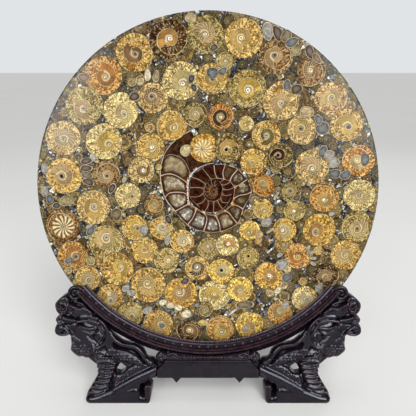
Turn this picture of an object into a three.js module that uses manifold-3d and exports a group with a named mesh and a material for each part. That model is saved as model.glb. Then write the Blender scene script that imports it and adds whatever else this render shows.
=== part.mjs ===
// Polished ammonite plate standing in a carved dragon cradle. Millimetres, +Z up, front towards -Y.
//
// The plate is a round slab of matrix with cut ammonites set in shallow pockets in its face.
// It leans back in an arc-shaped cradle, which two dragon brackets and a front rail carry,
// with two rear legs and a cross rail behind.
//
// Everything is drawn in the plate's own frame: u to the right, v up the face, h out of the face,
// with the origin at the middle of the polished face. The frame leans back as one group.

import * as THREE from 'three';
import { mergeVertices } from 'three/addons/utils/BufferGeometryUtils.js';
import Module from 'manifold-3d';

// ---------- driving dimensions ----------

const PLATE_RADIUS = 150;
const PLATE_THICKNESS = 18;
const RIM_ROUNDING = 2.5;
const LEAN = THREE.MathUtils.degToRad(12);
const PLATE_CENTRE_HEIGHT = 187;
const GAP = 0.3;

const POCKET_DEPTH = 7;
const CENTRE_POCKET_DEPTH = 12;
const POCKET_FLOOR_GAP = 0.3;
const INLAY_LIMIT_RADIUS = 147;
const SMALL_OUTLINE_POINTS = 14;
const SMALL_OUTLINE_STEP = 0.06;

const FRAME_FRONT = 10;
const FRAME_MIDDLE = 5;
const FRAME_BACK = -4;
const ARC_HALF_ANGLE = THREE.MathUtils.degToRad(52);
const TURN_SEGMENTS = 96;
const SCROLL = { u: 117, v: -92, radius: 6, back: 0.4, front: 10.5, segments: 20 };

const RAIL = { halfLength: 46, top: -152.6, bottom: -170, lowerEdge: 1, upperEdge: 3.5 };
const FRINGE = { halfLength: 38, radius: 149.7, back: 4.4, front: 8.5, points: 12 };
const ROSETTE = { u: 42, v: -152, radius: 5.5, back: 4.6, front: 11, segments: 16 };
const PENDANT = { u: 28.5, halfWidth: 5, tip: -175, back: 2, front: 9 };

const REAR_LEG = { inner: 30, outer: 42 };
const CROSS_RAIL = { y: 26, z: 22, radius: 5, sides: 12 };

// Ammonites set round the big one: u and v of the middle, then the radius.
// Where two of them meet, the earlier one is whole and the later one is cut back.
const AMMONITES = [
  [-62, 115, 16.5], [-33, 126, 17], [-2, 130, 16], [30, 127, 16.5], [57, 111.5, 15],
  [87.5, 100, 13], [-88.5, 96.5, 16.5], [-106, 71, 16.5], [-74.5, 67, 15.5], [-47, 78, 13.5],
  [-23, 92, 16.5], [3.5, 94, 13.5], [34, 86, 16.5], [62, 75, 16.5], [105, 77, 14.5],
  [119, 55, 14.5], [-125, 44, 15.5], [-90, 41, 16], [-50, 35.5, 13], [-31.5, 54.5, 13.5],
  [81, 51, 13], [50.5, 46, 13], [-125.5, 11.5, 16], [-89, 12.5, 12.5], [-70, -6, 11.8],
  [-101, -16.5, 15.5], [-128, -33, 15.5], [-91, -47.5, 16], [-3.5, 35.5, 12.8], [18, 35.5, 13],
  [39.5, 23.5, 12], [62, 28.5, 12], [90.5, 19.5, 15.5], [131, 24, 14.5], [102, -7.5, 13.3],
  [133, -6, 14.5], [98.5, -36.5, 15], [132, -34, 14.5], [-121, -60, 14], [-81, -72, 15.3],
  [-56.5, -55, 12.5], [-54, -87, 16.5], [-24, -94.5, 15], [5.5, -96, 14.3], [29, -90.5, 12],
  [55, -78.5, 13.3], [123, -59.5, 14.5], [-45, -123, 14], [11, -127.5, 13], [38, -124, 13],
];

// The big ammonite: one turn of a spiral that doubles its radius, clockwise out to the aperture.
const CENTRE_SPIRAL = {
  u: 4.5, v: -2, apertureRadius: 53, apertureAngle: 109, growth: 2, turn: 358, points: 40,
};

// Section of the cradle as [radius, h]: front lip, undercut behind its edge, floor under the
// plate's edge, rear lip.
const CRADLE_SECTION = [
  [139.6, 0.4], [137, 5], [135, 8.8], [136.5, 9.8], [142, 10.3], [146, 10.5], [147.6, 8.5],
  [149.2, 3.8], [155, 2], [155, -20.5], [152, -23.5], [141, -23.5], [140, -21.5],
  [141, -18.4], [150.4, -18.4], [150.4, 0.4],
];
// The same section with a clearance all round it, and closed over the plate's edge.
const CRADLE_CLEARANCE = [
  [130, 10.9], [146.1, 10.9], [147.9, 8.7], [149.5, 4.1], [155.3, 2.3], [155.3, -20.7],
  [152.2, -23.8], [139.6, -23.8], [139.6, -18.3], [130, -18.3],
];

// Left-hand dragon, seen from the front: its whole outline, then the parts that stand out from it.
const DRAGON_OUTLINE = [
  [-46.3, -158.5], [-51, -159], [-54, -156], [-57, -150], [-62, -146.5], [-70, -143], [-78, -140],
  [-82, -135], [-84.5, -129.5], [-87, -124], [-100, -112], [-112, -101], [-121.5, -98.5],
  [-125, -94], [-129, -95.5], [-133, -98.5], [-135.5, -102], [-135.5, -106], [-133, -110],
  [-130.5, -112], [-134, -113.5], [-136, -116], [-135, -119.5], [-136.8, -123], [-137, -127],
  [-135, -130.5], [-131, -131.5], [-125, -131], [-123.5, -135], [-123, -140], [-124, -146],
  [-120, -149.5], [-117, -152], [-113, -150.5], [-109, -153.5], [-105, -157], [-100.5, -161],
  [-99, -166], [-100, -170], [-105, -179], [-109, -186], [-110.5, -192], [-110.5, -200],
  [-53, -200], [-52, -187], [-51, -178], [-53, -176.5], [-57, -177], [-55, -175.3], [-50, -172],
  [-46.3, -170.5],
];
const DRAGON_HOLE = [
  [-79, -156], [-75, -157], [-71.5, -161], [-73, -166], [-80, -169.5], [-85, -168.5], [-82, -161],
];
const DRAGON_HEAD = [
  [-121.5, -98.5], [-125, -94], [-129, -95.5], [-133, -98.5], [-135.5, -102], [-135.5, -106],
  [-133, -110], [-130.5, -112], [-118, -114], [-103, -113], [-105, -107], [-112, -101],
];
const DRAGON_JAW = [
  [-130.5, -113], [-134, -113.5], [-136, -116], [-135, -119.5], [-136.8, -123], [-137, -127],
  [-135, -130.5], [-131, -131.5], [-125, -131], [-119, -122], [-112, -118], [-118, -116],
];
const DRAGON_NECK = [
  [-108, -120], [-119, -126], [-122, -133], [-121, -140], [-117, -149], [-108, -151], [-98, -143],
  [-90, -138], [-88, -128], [-96, -119],
];
const DRAGON_RIBBON = [
  [-85, -131], [-82, -136], [-78, -140], [-70, -143], [-62, -146.5], [-57, -150], [-54, -156],
  [-56, -158], [-62, -152], [-70, -148], [-80, -146], [-87, -142],
];
const DRAGON_LIMB = [
  [-46.3, -158.5], [-58, -164], [-72, -172], [-88, -182], [-104, -186], [-109, -187],
  [-110.5, -192], [-110.5, -200], [-66, -200], [-64, -184], [-58, -177.5], [-50, -172],
  [-46.3, -170.5],
];
const DRAGON_SCROLL_TOE = [[-51, -178], [-60, -178], [-65, -184], [-65, -200], [-53, -200], [-52, -187]];

// Side of a rear leg behind the plate, as [y, z] above the floor.
const REAR_LEG_BACK = [
  [17.8, 121.9], [14.5, 90], [11.5, 64], [15, 49], [25, 36], [41, 24], [59, 15], [75, 8], [80, 0],
];
const REAR_LEG_UNDER = [[61, 0], [53, 6], [38, 12.5], [20, 17.5], [0, 20]];
// The leg's front edge, as [h, v] in the plate's frame: it meets the front rail and backs the plate.
const REAR_LEG_FRONT = [[-4.3, -168], [-4.3, -157], [-18.4, -152], [-18.4, -60], [-24, -54]];

// ---------- finishes ----------

const STONE = { color: 0x77684c, roughness: 0.18, metalness: 0 };
const SHELL = { color: 0xb08a3e, roughness: 0.15, metalness: 0 };
const DARK_SHELL = { color: 0x5a3216, roughness: 0.12, metalness: 0 };
const LACQUER = { color: 0x1d1519, roughness: 0.28, metalness: 0 };

// ---------- solids ----------

const wasm = await Module();
wasm.setup();

// The lean of the plate's frame, and its way back, for what stands square on the floor.
const leanMatrix = new THREE.Matrix4()
  .makeTranslation(0, 0, PLATE_CENTRE_HEIGHT)
  .multiply(new THREE.Matrix4().makeRotationX(-LEAN));
const unleanMatrix = leanMatrix.clone().invert();

function solidOf(geometry) {
  const bare = new THREE.BufferGeometry();
  bare.setAttribute('position', geometry.getAttribute('position'));
  bare.setIndex(geometry.getIndex());
  const merged = mergeVertices(bare, 1e-4);
  return new wasm.Manifold(new wasm.Mesh({
    numProp: 3,
    vertProperties: new Float32Array(merged.getAttribute('position').array),
    triVerts: new Uint32Array(merged.getIndex().array),
  }));
}

function geometryOf(solid) {
  const mesh = solid.getMesh();
  const geometry = new THREE.BufferGeometry();
  geometry.setAttribute('position', new THREE.BufferAttribute(mesh.vertProperties, 3));
  geometry.setIndex(new THREE.BufferAttribute(mesh.triVerts, 1));
  geometry.computeVertexNormals();
  return geometry;
}

function shapeOf(points, holes = []) {
  const shape = new THREE.Shape(points.map(([x, y]) => new THREE.Vector2(x, y)));
  for (const hole of holes) {
    shape.holes.push(new THREE.Path(hole.map(([x, y]) => new THREE.Vector2(x, y))));
  }
  return shape;
}

// A slab with the outline given as [u, v], from the depth back to the depth front.
function facePrism(points, back, front, holes = []) {
  const geometry = new THREE.ExtrudeGeometry(shapeOf(points, holes), {
    depth: front - back,
    bevelEnabled: false,
  });
  return solidOf(geometry.rotateX(Math.PI / 2).translate(0, -back, 0));
}

// A bar with the section given as [h, v], from low to high along u.
function sidePrism(points, low, high) {
  const geometry = new THREE.ExtrudeGeometry(shapeOf(points), {
    depth: high - low,
    bevelEnabled: false,
  });
  const sideways = new THREE.Matrix4().makeBasis(
    new THREE.Vector3(0, -1, 0),
    new THREE.Vector3(0, 0, 1),
    new THREE.Vector3(-1, 0, 0),
  );
  return solidOf(geometry.applyMatrix4(sideways).translate(high, 0, 0));
}

// A ring or disc turned about the plate's axis, with the section given as [radius, h].
function turned(section) {
  const points = section.map(([radius, h]) => new THREE.Vector2(radius, -h));
  return solidOf(new THREE.LatheGeometry(points, TURN_SEGMENTS));
}

function closed(section) {
  return [...section, section[0]];
}

function circle(u, v, radius, count) {
  return Array.from({ length: count }, (_, i) => {
    const angle = (2 * Math.PI * i) / count;
    return [u + radius * Math.cos(angle), v + radius * Math.sin(angle)];
  });
}

function mirrored(points) {
  return points.map(([u, v]) => [-u, v]);
}

function joined(solids) {
  return solids.reduce((all, solid) => all.add(solid));
}

// ---------- plate ----------

// A small ammonite's outline is a circle that steps in a little where the last whorl ends.
function smallOutline([u, v, radius], grow = 0) {
  return Array.from({ length: SMALL_OUTLINE_POINTS }, (_, i) => {
    const share = i / SMALL_OUTLINE_POINTS;
    const reach = radius * (1 + SMALL_OUTLINE_STEP * (0.5 - share)) + grow;
    const angle = 2 * Math.PI * share + u * v;
    return [u + reach * Math.cos(angle), v + reach * Math.sin(angle)];
  });
}

// The big one's outline ends in a step too, which grows outwards as the rest does.
function centreOutline(grow = 0) {
  const { u, v, apertureRadius, apertureAngle, growth, turn, points } = CENTRE_SPIRAL;
  return Array.from({ length: points + 1 }, (_, i) => {
    const share = i / points;
    const reach = apertureRadius * growth ** -share + grow;
    const turnedBack = i === 0 || i === points ? grow / reach : 0;
    const angle = THREE.MathUtils.degToRad(apertureAngle + turn * share) - turnedBack;
    return [u + reach * Math.cos(angle), v + reach * Math.sin(angle)];
  });
}

const plateDisc = turned([
  [0, -PLATE_THICKNESS],
  [PLATE_RADIUS - RIM_ROUNDING, -PLATE_THICKNESS],
  [PLATE_RADIUS - RIM_ROUNDING * 0.3, -PLATE_THICKNESS + RIM_ROUNDING * 0.3],
  [PLATE_RADIUS, -PLATE_THICKNESS + RIM_ROUNDING],
  [PLATE_RADIUS, -RIM_ROUNDING],
  [PLATE_RADIUS - RIM_ROUNDING * 0.3, -RIM_ROUNDING * 0.3],
  [PLATE_RADIUS - RIM_ROUNDING, 0],
  [0, 0],
].reverse());

// A disc that reaches past both faces, to which the inlays and their pockets are kept.
function limitDisc(radius) {
  return turned([[0, 1], [radius, 1], [radius, -PLATE_THICKNESS - 1], [0, -PLATE_THICKNESS - 1]]);
}

// Each inlay is cut back by those before it, and its pocket is taken out of the slab.
function inlays() {
  const wanted = AMMONITES.map((row, i) => ({
    name: `ammonite_${String(i + 1).padStart(2, '0')}`,
    outline: (grow) => smallOutline(row, grow),
    depth: POCKET_DEPTH,
    finish: SHELL,
  }));
  wanted.push({
    name: 'ammonite_centre',
    outline: centreOutline,
    depth: CENTRE_POCKET_DEPTH,
    finish: DARK_SHELL,
  });
  const inlayLimit = limitDisc(INLAY_LIMIT_RADIUS);
  const pocketLimit = limitDisc(INLAY_LIMIT_RADIUS + GAP);
  let slab = plateDisc;
  const kept = [];
  for (const piece of wanted) {
    let solid = facePrism(piece.outline(0), -piece.depth, 0).intersect(inlayLimit);
    for (const other of kept) {
      solid = solid.subtract(other.room);
    }
    const room = facePrism(piece.outline(GAP), -piece.depth - POCKET_FLOOR_GAP, 1);
    slab = slab.subtract(room.intersect(pocketLimit));
    kept.push({ ...piece, solid, room });
  }
  return { slab, kept };
}

// ---------- stand ----------

// Everything below the floor, to trim the feet flat.
const belowFloor = solidOf(
  new THREE.BoxGeometry(600, 600, 100).translate(0, 0, -50).applyMatrix4(unleanMatrix),
);

const cradleClearance = turned(closed(CRADLE_CLEARANCE));

function cradleArc() {
  const reach = 2 * PLATE_RADIUS;
  const wedge = facePrism([
    [0, 0],
    [-reach * Math.sin(ARC_HALF_ANGLE), -reach * Math.cos(ARC_HALF_ANGLE)],
    [0, -reach],
    [reach * Math.sin(ARC_HALF_ANGLE), -reach * Math.cos(ARC_HALF_ANGLE)],
  ], -2 * PLATE_THICKNESS, 2 * PLATE_THICKNESS);
  const scrolls = [-1, 1].map((side) => facePrism(
    circle(side * SCROLL.u, SCROLL.v, SCROLL.radius, SCROLL.segments), SCROLL.back, SCROLL.front,
  ));
  return joined([turned(closed(CRADLE_SECTION)).intersect(wedge), ...scrolls]);
}

function dragon(side) {
  const place = side < 0 ? (points) => points : mirrored;
  const raised = [DRAGON_HEAD, DRAGON_JAW, DRAGON_NECK, DRAGON_RIBBON, DRAGON_LIMB, DRAGON_SCROLL_TOE];
  const scrollRoom = facePrism(
    circle(side * SCROLL.u, SCROLL.v, SCROLL.radius + GAP, SCROLL.segments),
    SCROLL.back - GAP,
    SCROLL.front + GAP,
  );
  return joined([
    facePrism(place(DRAGON_OUTLINE), FRAME_BACK, FRAME_MIDDLE, [place(DRAGON_HOLE)]),
    ...raised.map((points) => facePrism(place(points), FRAME_BACK, FRAME_FRONT)),
  ]).subtract(cradleClearance).subtract(scrollRoom).subtract(belowFloor);
}

function frontRail() {
  const rail = sidePrism([
    [FRAME_BACK, RAIL.bottom],
    [FRAME_FRONT - RAIL.lowerEdge, RAIL.bottom],
    [FRAME_FRONT, RAIL.bottom + RAIL.lowerEdge],
    [FRAME_FRONT, RAIL.top - RAIL.upperEdge],
    [FRAME_FRONT - RAIL.upperEdge, RAIL.top],
    [FRAME_BACK, RAIL.top],
  ], -RAIL.halfLength, RAIL.halfLength);
  const fringeTop = Array.from({ length: FRINGE.points + 1 }, (_, i) => {
    const u = FRINGE.halfLength * ((2 * i) / FRINGE.points - 1);
    return [u, -Math.sqrt(FRINGE.radius ** 2 - u ** 2)];
  });
  const fringe = facePrism([
    ...fringeTop,
    [FRINGE.halfLength, RAIL.top - 2],
    [-FRINGE.halfLength, RAIL.top - 2],
  ], FRINGE.back, FRINGE.front);
  const rosettes = [-1, 1].map((side) => facePrism(
    circle(side * ROSETTE.u, ROSETTE.v, ROSETTE.radius, ROSETTE.segments), ROSETTE.back, ROSETTE.front,
  ));
  const pendants = [-1, 1].map((side) => facePrism([
    [side * PENDANT.u - PENDANT.halfWidth, RAIL.bottom + 1],
    [side * PENDANT.u, PENDANT.tip],
    [side * PENDANT.u + PENDANT.halfWidth, RAIL.bottom + 1],
  ], PENDANT.back, PENDANT.front));
  return joined([rail, fringe, ...rosettes, ...pendants]).subtract(cradleClearance);
}

// [y, z] above the floor for a point [h, v] of the plate's frame, and the way back.
function onFloor([h, v]) {
  const point = new THREE.Vector3(0, -h, v).applyMatrix4(leanMatrix);
  return [point.y, point.z];
}

function inPlateFrame([y, z]) {
  const point = new THREE.Vector3(0, y, z).applyMatrix4(unleanMatrix);
  return [-point.y, point.z];
}

function rearLeg(side) {
  const outline = [...REAR_LEG_BACK, ...REAR_LEG_UNDER].map(inPlateFrame);
  outline.push(...REAR_LEG_FRONT);
  const low = side < 0 ? -REAR_LEG.outer : REAR_LEG.inner;
  const high = side < 0 ? -REAR_LEG.inner : REAR_LEG.outer;
  return sidePrism(outline, low, high).subtract(cradleClearance).subtract(belowFloor);
}

function crossRail() {
  const [h, v] = inPlateFrame([CROSS_RAIL.y, CROSS_RAIL.z]);
  const section = circle(h, v, CROSS_RAIL.radius, CROSS_RAIL.sides);
  return sidePrism(section, -REAR_LEG.inner + GAP, REAR_LEG.inner - GAP);
}

// ---------- the whole, with its origin under the middle of its box ----------

const leaning = new THREE.Group();
leaning.applyMatrix4(leanMatrix);

function addPiece(name, solid, finish) {
  const mesh = new THREE.Mesh(geometryOf(solid), new THREE.MeshStandardMaterial(finish));
  mesh.name = name;
  leaning.add(mesh);
}

const { slab, kept } = inlays();
addPiece('matrix_slab', slab, STONE);
for (const { name, solid, finish } of kept) {
  addPiece(name, solid, finish);
}
addPiece('cradle_arc', cradleArc(), LACQUER);
addPiece('dragon_left', dragon(-1), LACQUER);
addPiece('dragon_right', dragon(1), LACQUER);
addPiece('front_rail', frontRail(), LACQUER);
addPiece('rear_leg_left', rearLeg(-1), LACQUER);
addPiece('rear_leg_right', rearLeg(1), LACQUER);
addPiece('rear_cross_rail', crossRail(), LACQUER);

const group = new THREE.Group();
group.add(leaning);
group.updateMatrixWorld(true);
const box = new THREE.Box3().setFromObject(group, true);
group.position.y = -(box.min.y + box.max.y) / 2;

export default group;
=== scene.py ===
"""Looks of the polished ammonite plate and its dragon stand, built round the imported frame.

Lengths are millimetres, turned into metres only where a mesh is made. Only the floor and the
lamps are placed in metres. The plate has its own coordinates: u to the right, v up the polished
face and h out of it, from the middle of the face. The cradle, the rail and the dragons are drawn
in the same coordinates, because they lean with the plate.
"""

import math
import random
from types import SimpleNamespace

import bpy
import numpy as np
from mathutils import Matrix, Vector


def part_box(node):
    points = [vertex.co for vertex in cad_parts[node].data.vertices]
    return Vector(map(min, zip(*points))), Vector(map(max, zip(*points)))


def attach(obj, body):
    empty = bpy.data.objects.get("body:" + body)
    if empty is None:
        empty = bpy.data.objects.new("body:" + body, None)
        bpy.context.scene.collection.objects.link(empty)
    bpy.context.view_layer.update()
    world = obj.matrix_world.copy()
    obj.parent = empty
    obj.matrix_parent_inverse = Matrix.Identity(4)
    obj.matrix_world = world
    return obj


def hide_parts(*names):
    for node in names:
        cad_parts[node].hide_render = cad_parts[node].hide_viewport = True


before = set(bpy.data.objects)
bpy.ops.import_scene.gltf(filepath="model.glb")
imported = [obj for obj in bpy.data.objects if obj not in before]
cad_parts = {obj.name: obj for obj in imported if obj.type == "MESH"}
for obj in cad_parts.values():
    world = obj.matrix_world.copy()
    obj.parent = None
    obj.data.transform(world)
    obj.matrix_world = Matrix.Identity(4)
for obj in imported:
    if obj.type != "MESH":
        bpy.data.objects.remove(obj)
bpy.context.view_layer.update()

# ---------- the frame ----------

MM = 0.001
LEAN = math.radians(12)
PLATE_RADIUS = 150
PLATE_THICKNESS = 18
RIM_ROUNDING = 2.5
RIM_START = PLATE_RADIUS - RIM_ROUNDING

RIGHT = np.array([1, 0, 0])
UPWARD = np.array([0, math.sin(LEAN), math.cos(LEAN)])
OUTWARD = np.array([0, -math.cos(LEAN), math.sin(LEAN)])
slab_low, slab_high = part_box("matrix_slab")
FACE_MIDDLE = np.array((slab_low + slab_high) / 2) + OUTWARD * PLATE_THICKNESS / 2 * MM


def to_world(points):
    """World places, in metres, of rows of (u, v, h)."""
    u, v, h = np.asarray(points, float).reshape(-1, 3).T[:, :, None]
    return FACE_MIDDLE + MM * (u * RIGHT + v * UPWARD + h * OUTWARD)


def wrapped(points):
    """Rows of (u, v, h) with what lies past the flat face bent round the plate's edge."""
    points = np.array(points, float)
    reach = np.hypot(points[:, 0], points[:, 1])
    past = np.maximum(reach - RIM_START, 0)
    bend = np.minimum(past / RIM_ROUNDING, math.pi / 2)
    down = np.maximum(past - RIM_ROUNDING * math.pi / 2, 0)
    radius = RIM_ROUNDING + points[:, 2]
    out = np.where(past > 0, RIM_START + radius * np.sin(bend), reach)
    points[:, :2] *= (out / np.maximum(reach, 1e-9))[:, None]
    points[:, 2] = np.where(past > 0, radius * np.cos(bend) - RIM_ROUNDING - down, points[:, 2])
    return points


# ---------- node graphs ----------


class Wire:
    """A node's output. Arithmetic on wires adds math nodes."""

    def __init__(self, graph, socket):
        self.graph = graph
        self.socket = socket

    def __add__(self, other):
        return self.graph.math("ADD", self, other)

    def __radd__(self, other):
        return self.graph.math("ADD", other, self)

    def __sub__(self, other):
        return self.graph.math("SUBTRACT", self, other)

    def __rsub__(self, other):
        return self.graph.math("SUBTRACT", other, self)

    def __mul__(self, other):
        return self.graph.math("MULTIPLY", self, other)

    def __truediv__(self, other):
        return self.graph.math("DIVIDE", self, other)


class Graph:
    """A material's node tree, with short calls for the nodes used here."""

    def __init__(self, name):
        self.material = bpy.data.materials.new(name)
        self.material.use_nodes = True
        self.nodes = self.material.node_tree.nodes
        self.links = self.material.node_tree.links
        self.nodes.clear()

    def node(self, kind, inputs, **settings):
        made = self.nodes.new("ShaderNode" + kind)
        for key, value in settings.items():
            setattr(made, key, value)
        for key, value in inputs.items():
            socket = made.inputs[key]
            if isinstance(value, Wire):
                self.links.new(value.socket, socket)
            elif socket.type == "RGBA" and len(value) == 3:
                socket.default_value = (*value, 1)
            else:
                socket.default_value = value
        return made

    def wire(self, kind, inputs, output=0, **settings):
        return Wire(self, self.node(kind, inputs, **settings).outputs[output])

    def math(self, operation, *values):
        return self.wire("Math", dict(enumerate(values)), operation=operation)

    def most(self, first, second):
        return self.math("MAXIMUM", first, second)

    def least(self, first, second):
        return self.math("MINIMUM", first, second)

    def length(self, vector):
        return self.wire("VectorMath", {0: vector}, "Value", operation="LENGTH")

    def scaled(self, vector, scale):
        return self.wire("VectorMath", {0: vector, 3: scale}, operation="SCALE")

    def moved(self, vector, way, amount):
        """The vector with amount times the way added to it."""
        return self.wire("VectorMath", {0: vector, 1: self.scaled(way, amount)}, operation="ADD")

    def drift(self, vector, size):
        """A way that turns and grows at random over about size millimetres."""
        cloud = self.noise(vector, size, output="Color")
        return self.wire("VectorMath", {0: cloud, 1: (0.5, 0.5, 0.5)}, operation="SUBTRACT")

    def attribute(self, name):
        return self.wire("Attribute", {}, "Vector", attribute_name=name)

    def parts(self, vector):
        return [Wire(self, socket) for socket in self.node("SeparateXYZ", {0: vector}).outputs]

    def joined(self, x, y, z=0.0):
        return self.wire("CombineXYZ", {0: x, 1: y, 2: z})

    def place(self):
        """The surface point in millimetres."""
        return self.scaled(self.wire("TexCoord", {}, "Object"), 1 / MM)

    def noise(self, vector, size, detail=3.0, rough=0.55, output="Fac"):
        """Cloudy noise whose features are about size millimetres across."""
        inputs = {"Vector": vector, "Scale": 1 / size, "Detail": detail, "Roughness": rough}
        return self.wire("TexNoise", inputs, output)

    def cells(self, vector, size, feature="F1", output="Distance"):
        return self.wire("TexVoronoi", {"Vector": vector, "Scale": 1 / size}, output, feature=feature)

    def tones(self, vector, size):
        """Three random numbers for each cell."""
        return self.parts(self.cells(vector, size, output="Color"))

    def seams(self, vector, size, width):
        """Lines between the cells."""
        return self.step(self.cells(vector, size, "DISTANCE_TO_EDGE"), width, 0.02)

    def step(self, value, low, high, to_low=0.0, to_high=1.0):
        """A smooth step from to_low at low to to_high at high."""
        inputs = {"Value": value, 1: low, 2: high, 3: to_low, 4: to_high}
        return self.wire("MapRange", inputs, interpolation_type="SMOOTHSTEP")

    def mix(self, share, first, second, blend="MIX"):
        inputs = {0: share, 6: first, 7: second}
        return self.wire("Mix", inputs, 2, data_type="RGBA", blend_type=blend)

    def banded(self, value, stops):
        """One colour from each stop up to the next."""
        made = self.node("ValToRGB", {0: value})
        made.color_ramp.interpolation = "CONSTANT"
        while len(made.color_ramp.elements) < len(stops):
            made.color_ramp.elements.new(0.5)
        for element, (position, colour) in zip(made.color_ramp.elements, stops):
            element.position = position
            element.color = (*colour, 1)
        return Wire(self, made.outputs[0])

    def lit(self, colour, value):
        """The colour made lighter or darker by a factor."""
        return self.scaled(colour, value)

    def shaded(self, colour, value, low, high, darker, lighter):
        """The colour lit by darker where the value is low, up to lighter where it is high."""
        return self.lit(colour, self.step(value, low, high, darker, lighter))

    def finish(self, colour, roughness, height=None, depth=0.1, **fixed):
        """The surface shader. height is in millimetres; fixed holds plain socket values."""
        inputs = {key.replace("_", " "): value for key, value in fixed.items()}
        inputs.update({"Base Color": colour, "Roughness": roughness})
        if height is not None:
            bump = {"Height": height, "Strength": 1.0, "Distance": depth * MM}
            inputs["Normal"] = self.wire("Bump", bump)
        self.node("OutputMaterial", {0: self.wire("BsdfPrincipled", inputs)})
        return self.material


def rgb(red, green, blue):
    """A colour given as it looks on a screen, turned into light values."""
    return tuple(((value / 255 + 0.055) / 1.055) ** 2.4 for value in (red, green, blue))


# ---------- meshes ----------


def shown(name, data):
    """A new object in the scene."""
    holder = bpy.data.objects.new(name, data)
    bpy.context.scene.collection.objects.link(holder)
    return holder


def around(sides):
    """Angles all the way round, evenly spaced."""
    return np.linspace(0, 2 * math.pi, sides, endpoint=False)


def skin(rings, top, bottom):
    """A closed mesh from a top point through equal rings of points to a bottom point."""
    sides = len(rings[0])
    after = [(i + 1) % sides for i in range(sides)]
    faces = [(0, 1 + i, 1 + after[i]) for i in range(sides)]
    for low in range(1, 1 + (len(rings) - 1) * sides, sides):
        high = low + sides
        faces += [(low + i, high + i, high + after[i], low + after[i]) for i in range(sides)]
    last = 1 + (len(rings) - 1) * sides
    faces += [(last + i, last + sides, last + after[i]) for i in range(sides)]
    return np.vstack([[top], *rings, [bottom]]), faces


def add_field(mesh, name, values):
    """An attribute with three numbers for each point."""
    layer = mesh.attributes.new(name, "FLOAT_VECTOR", "POINT")
    layer.data.foreach_set("vector", np.asarray(values, np.float32).ravel())


def add_piece(name, points, faces, material, fields=None, stands_for=(), smooth=False):
    """A mesh piece from world points. fields maps attribute names to rows of three numbers."""
    mesh = bpy.data.meshes.new(name)
    mesh.from_pydata(np.asarray(points).tolist(), [], [list(face) for face in faces])
    for field, values in (fields or {}).items():
        add_field(mesh, field, values)
    mesh.materials.append(material)
    mesh.polygons.foreach_set("use_smooth", [smooth] * len(mesh.polygons))
    piece = shown(name, mesh)
    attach(piece, "root")
    if stands_for:
        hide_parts(*stands_for)
    return piece


class Pile:
    """Gathers parts of one mesh, each with the same attribute fields."""

    def __init__(self, *fields):
        self.points = []
        self.faces = []
        self.fields = {field: [] for field in fields}

    def add(self, points, faces, **fields):
        start = len(self.points)
        self.points.extend(points)
        self.faces.extend([start + i for i in face] for face in faces)
        for field, rows in self.fields.items():
            values = np.broadcast_to(np.asarray(fields[field], float), (len(points), 3))
            rows.extend(values)

    def piece(self, name, material, slot, stands_for=()):
        add_piece(name, to_world(self.points), self.faces, material, self.fields, stands_for)


# ---------- tones of the fossils ----------

TONES = {
    "gold": rgb(184, 150, 84),
    "deep_gold": rgb(186, 146, 68),
    "yellow": rgb(208, 174, 86),
    "pale": rgb(198, 178, 126),
    "olive": rgb(152, 134, 84),
    "dark_olive": rgb(108, 92, 54),
    "beige": rgb(186, 160, 110),
    "pink": rgb(172, 140, 100),
    "orange": rgb(176, 130, 70),
    "amber": rgb(164, 102, 36),
    "brown": rgb(122, 88, 54),
    "dark_brown": rgb(70, 46, 30),
    "red_brown": rgb(54, 21, 11),
    "cream": rgb(232, 216, 176),
    "white": rgb(242, 242, 238),
    "grey": rgb(158, 154, 144),
    "slate": rgb(88, 92, 94),
    "black": rgb(20, 18, 20),
    "horn": rgb(148, 130, 98),
    "dark_horn": rgb(96, 84, 58),
    "ash": rgb(150, 142, 126),
}

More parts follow.
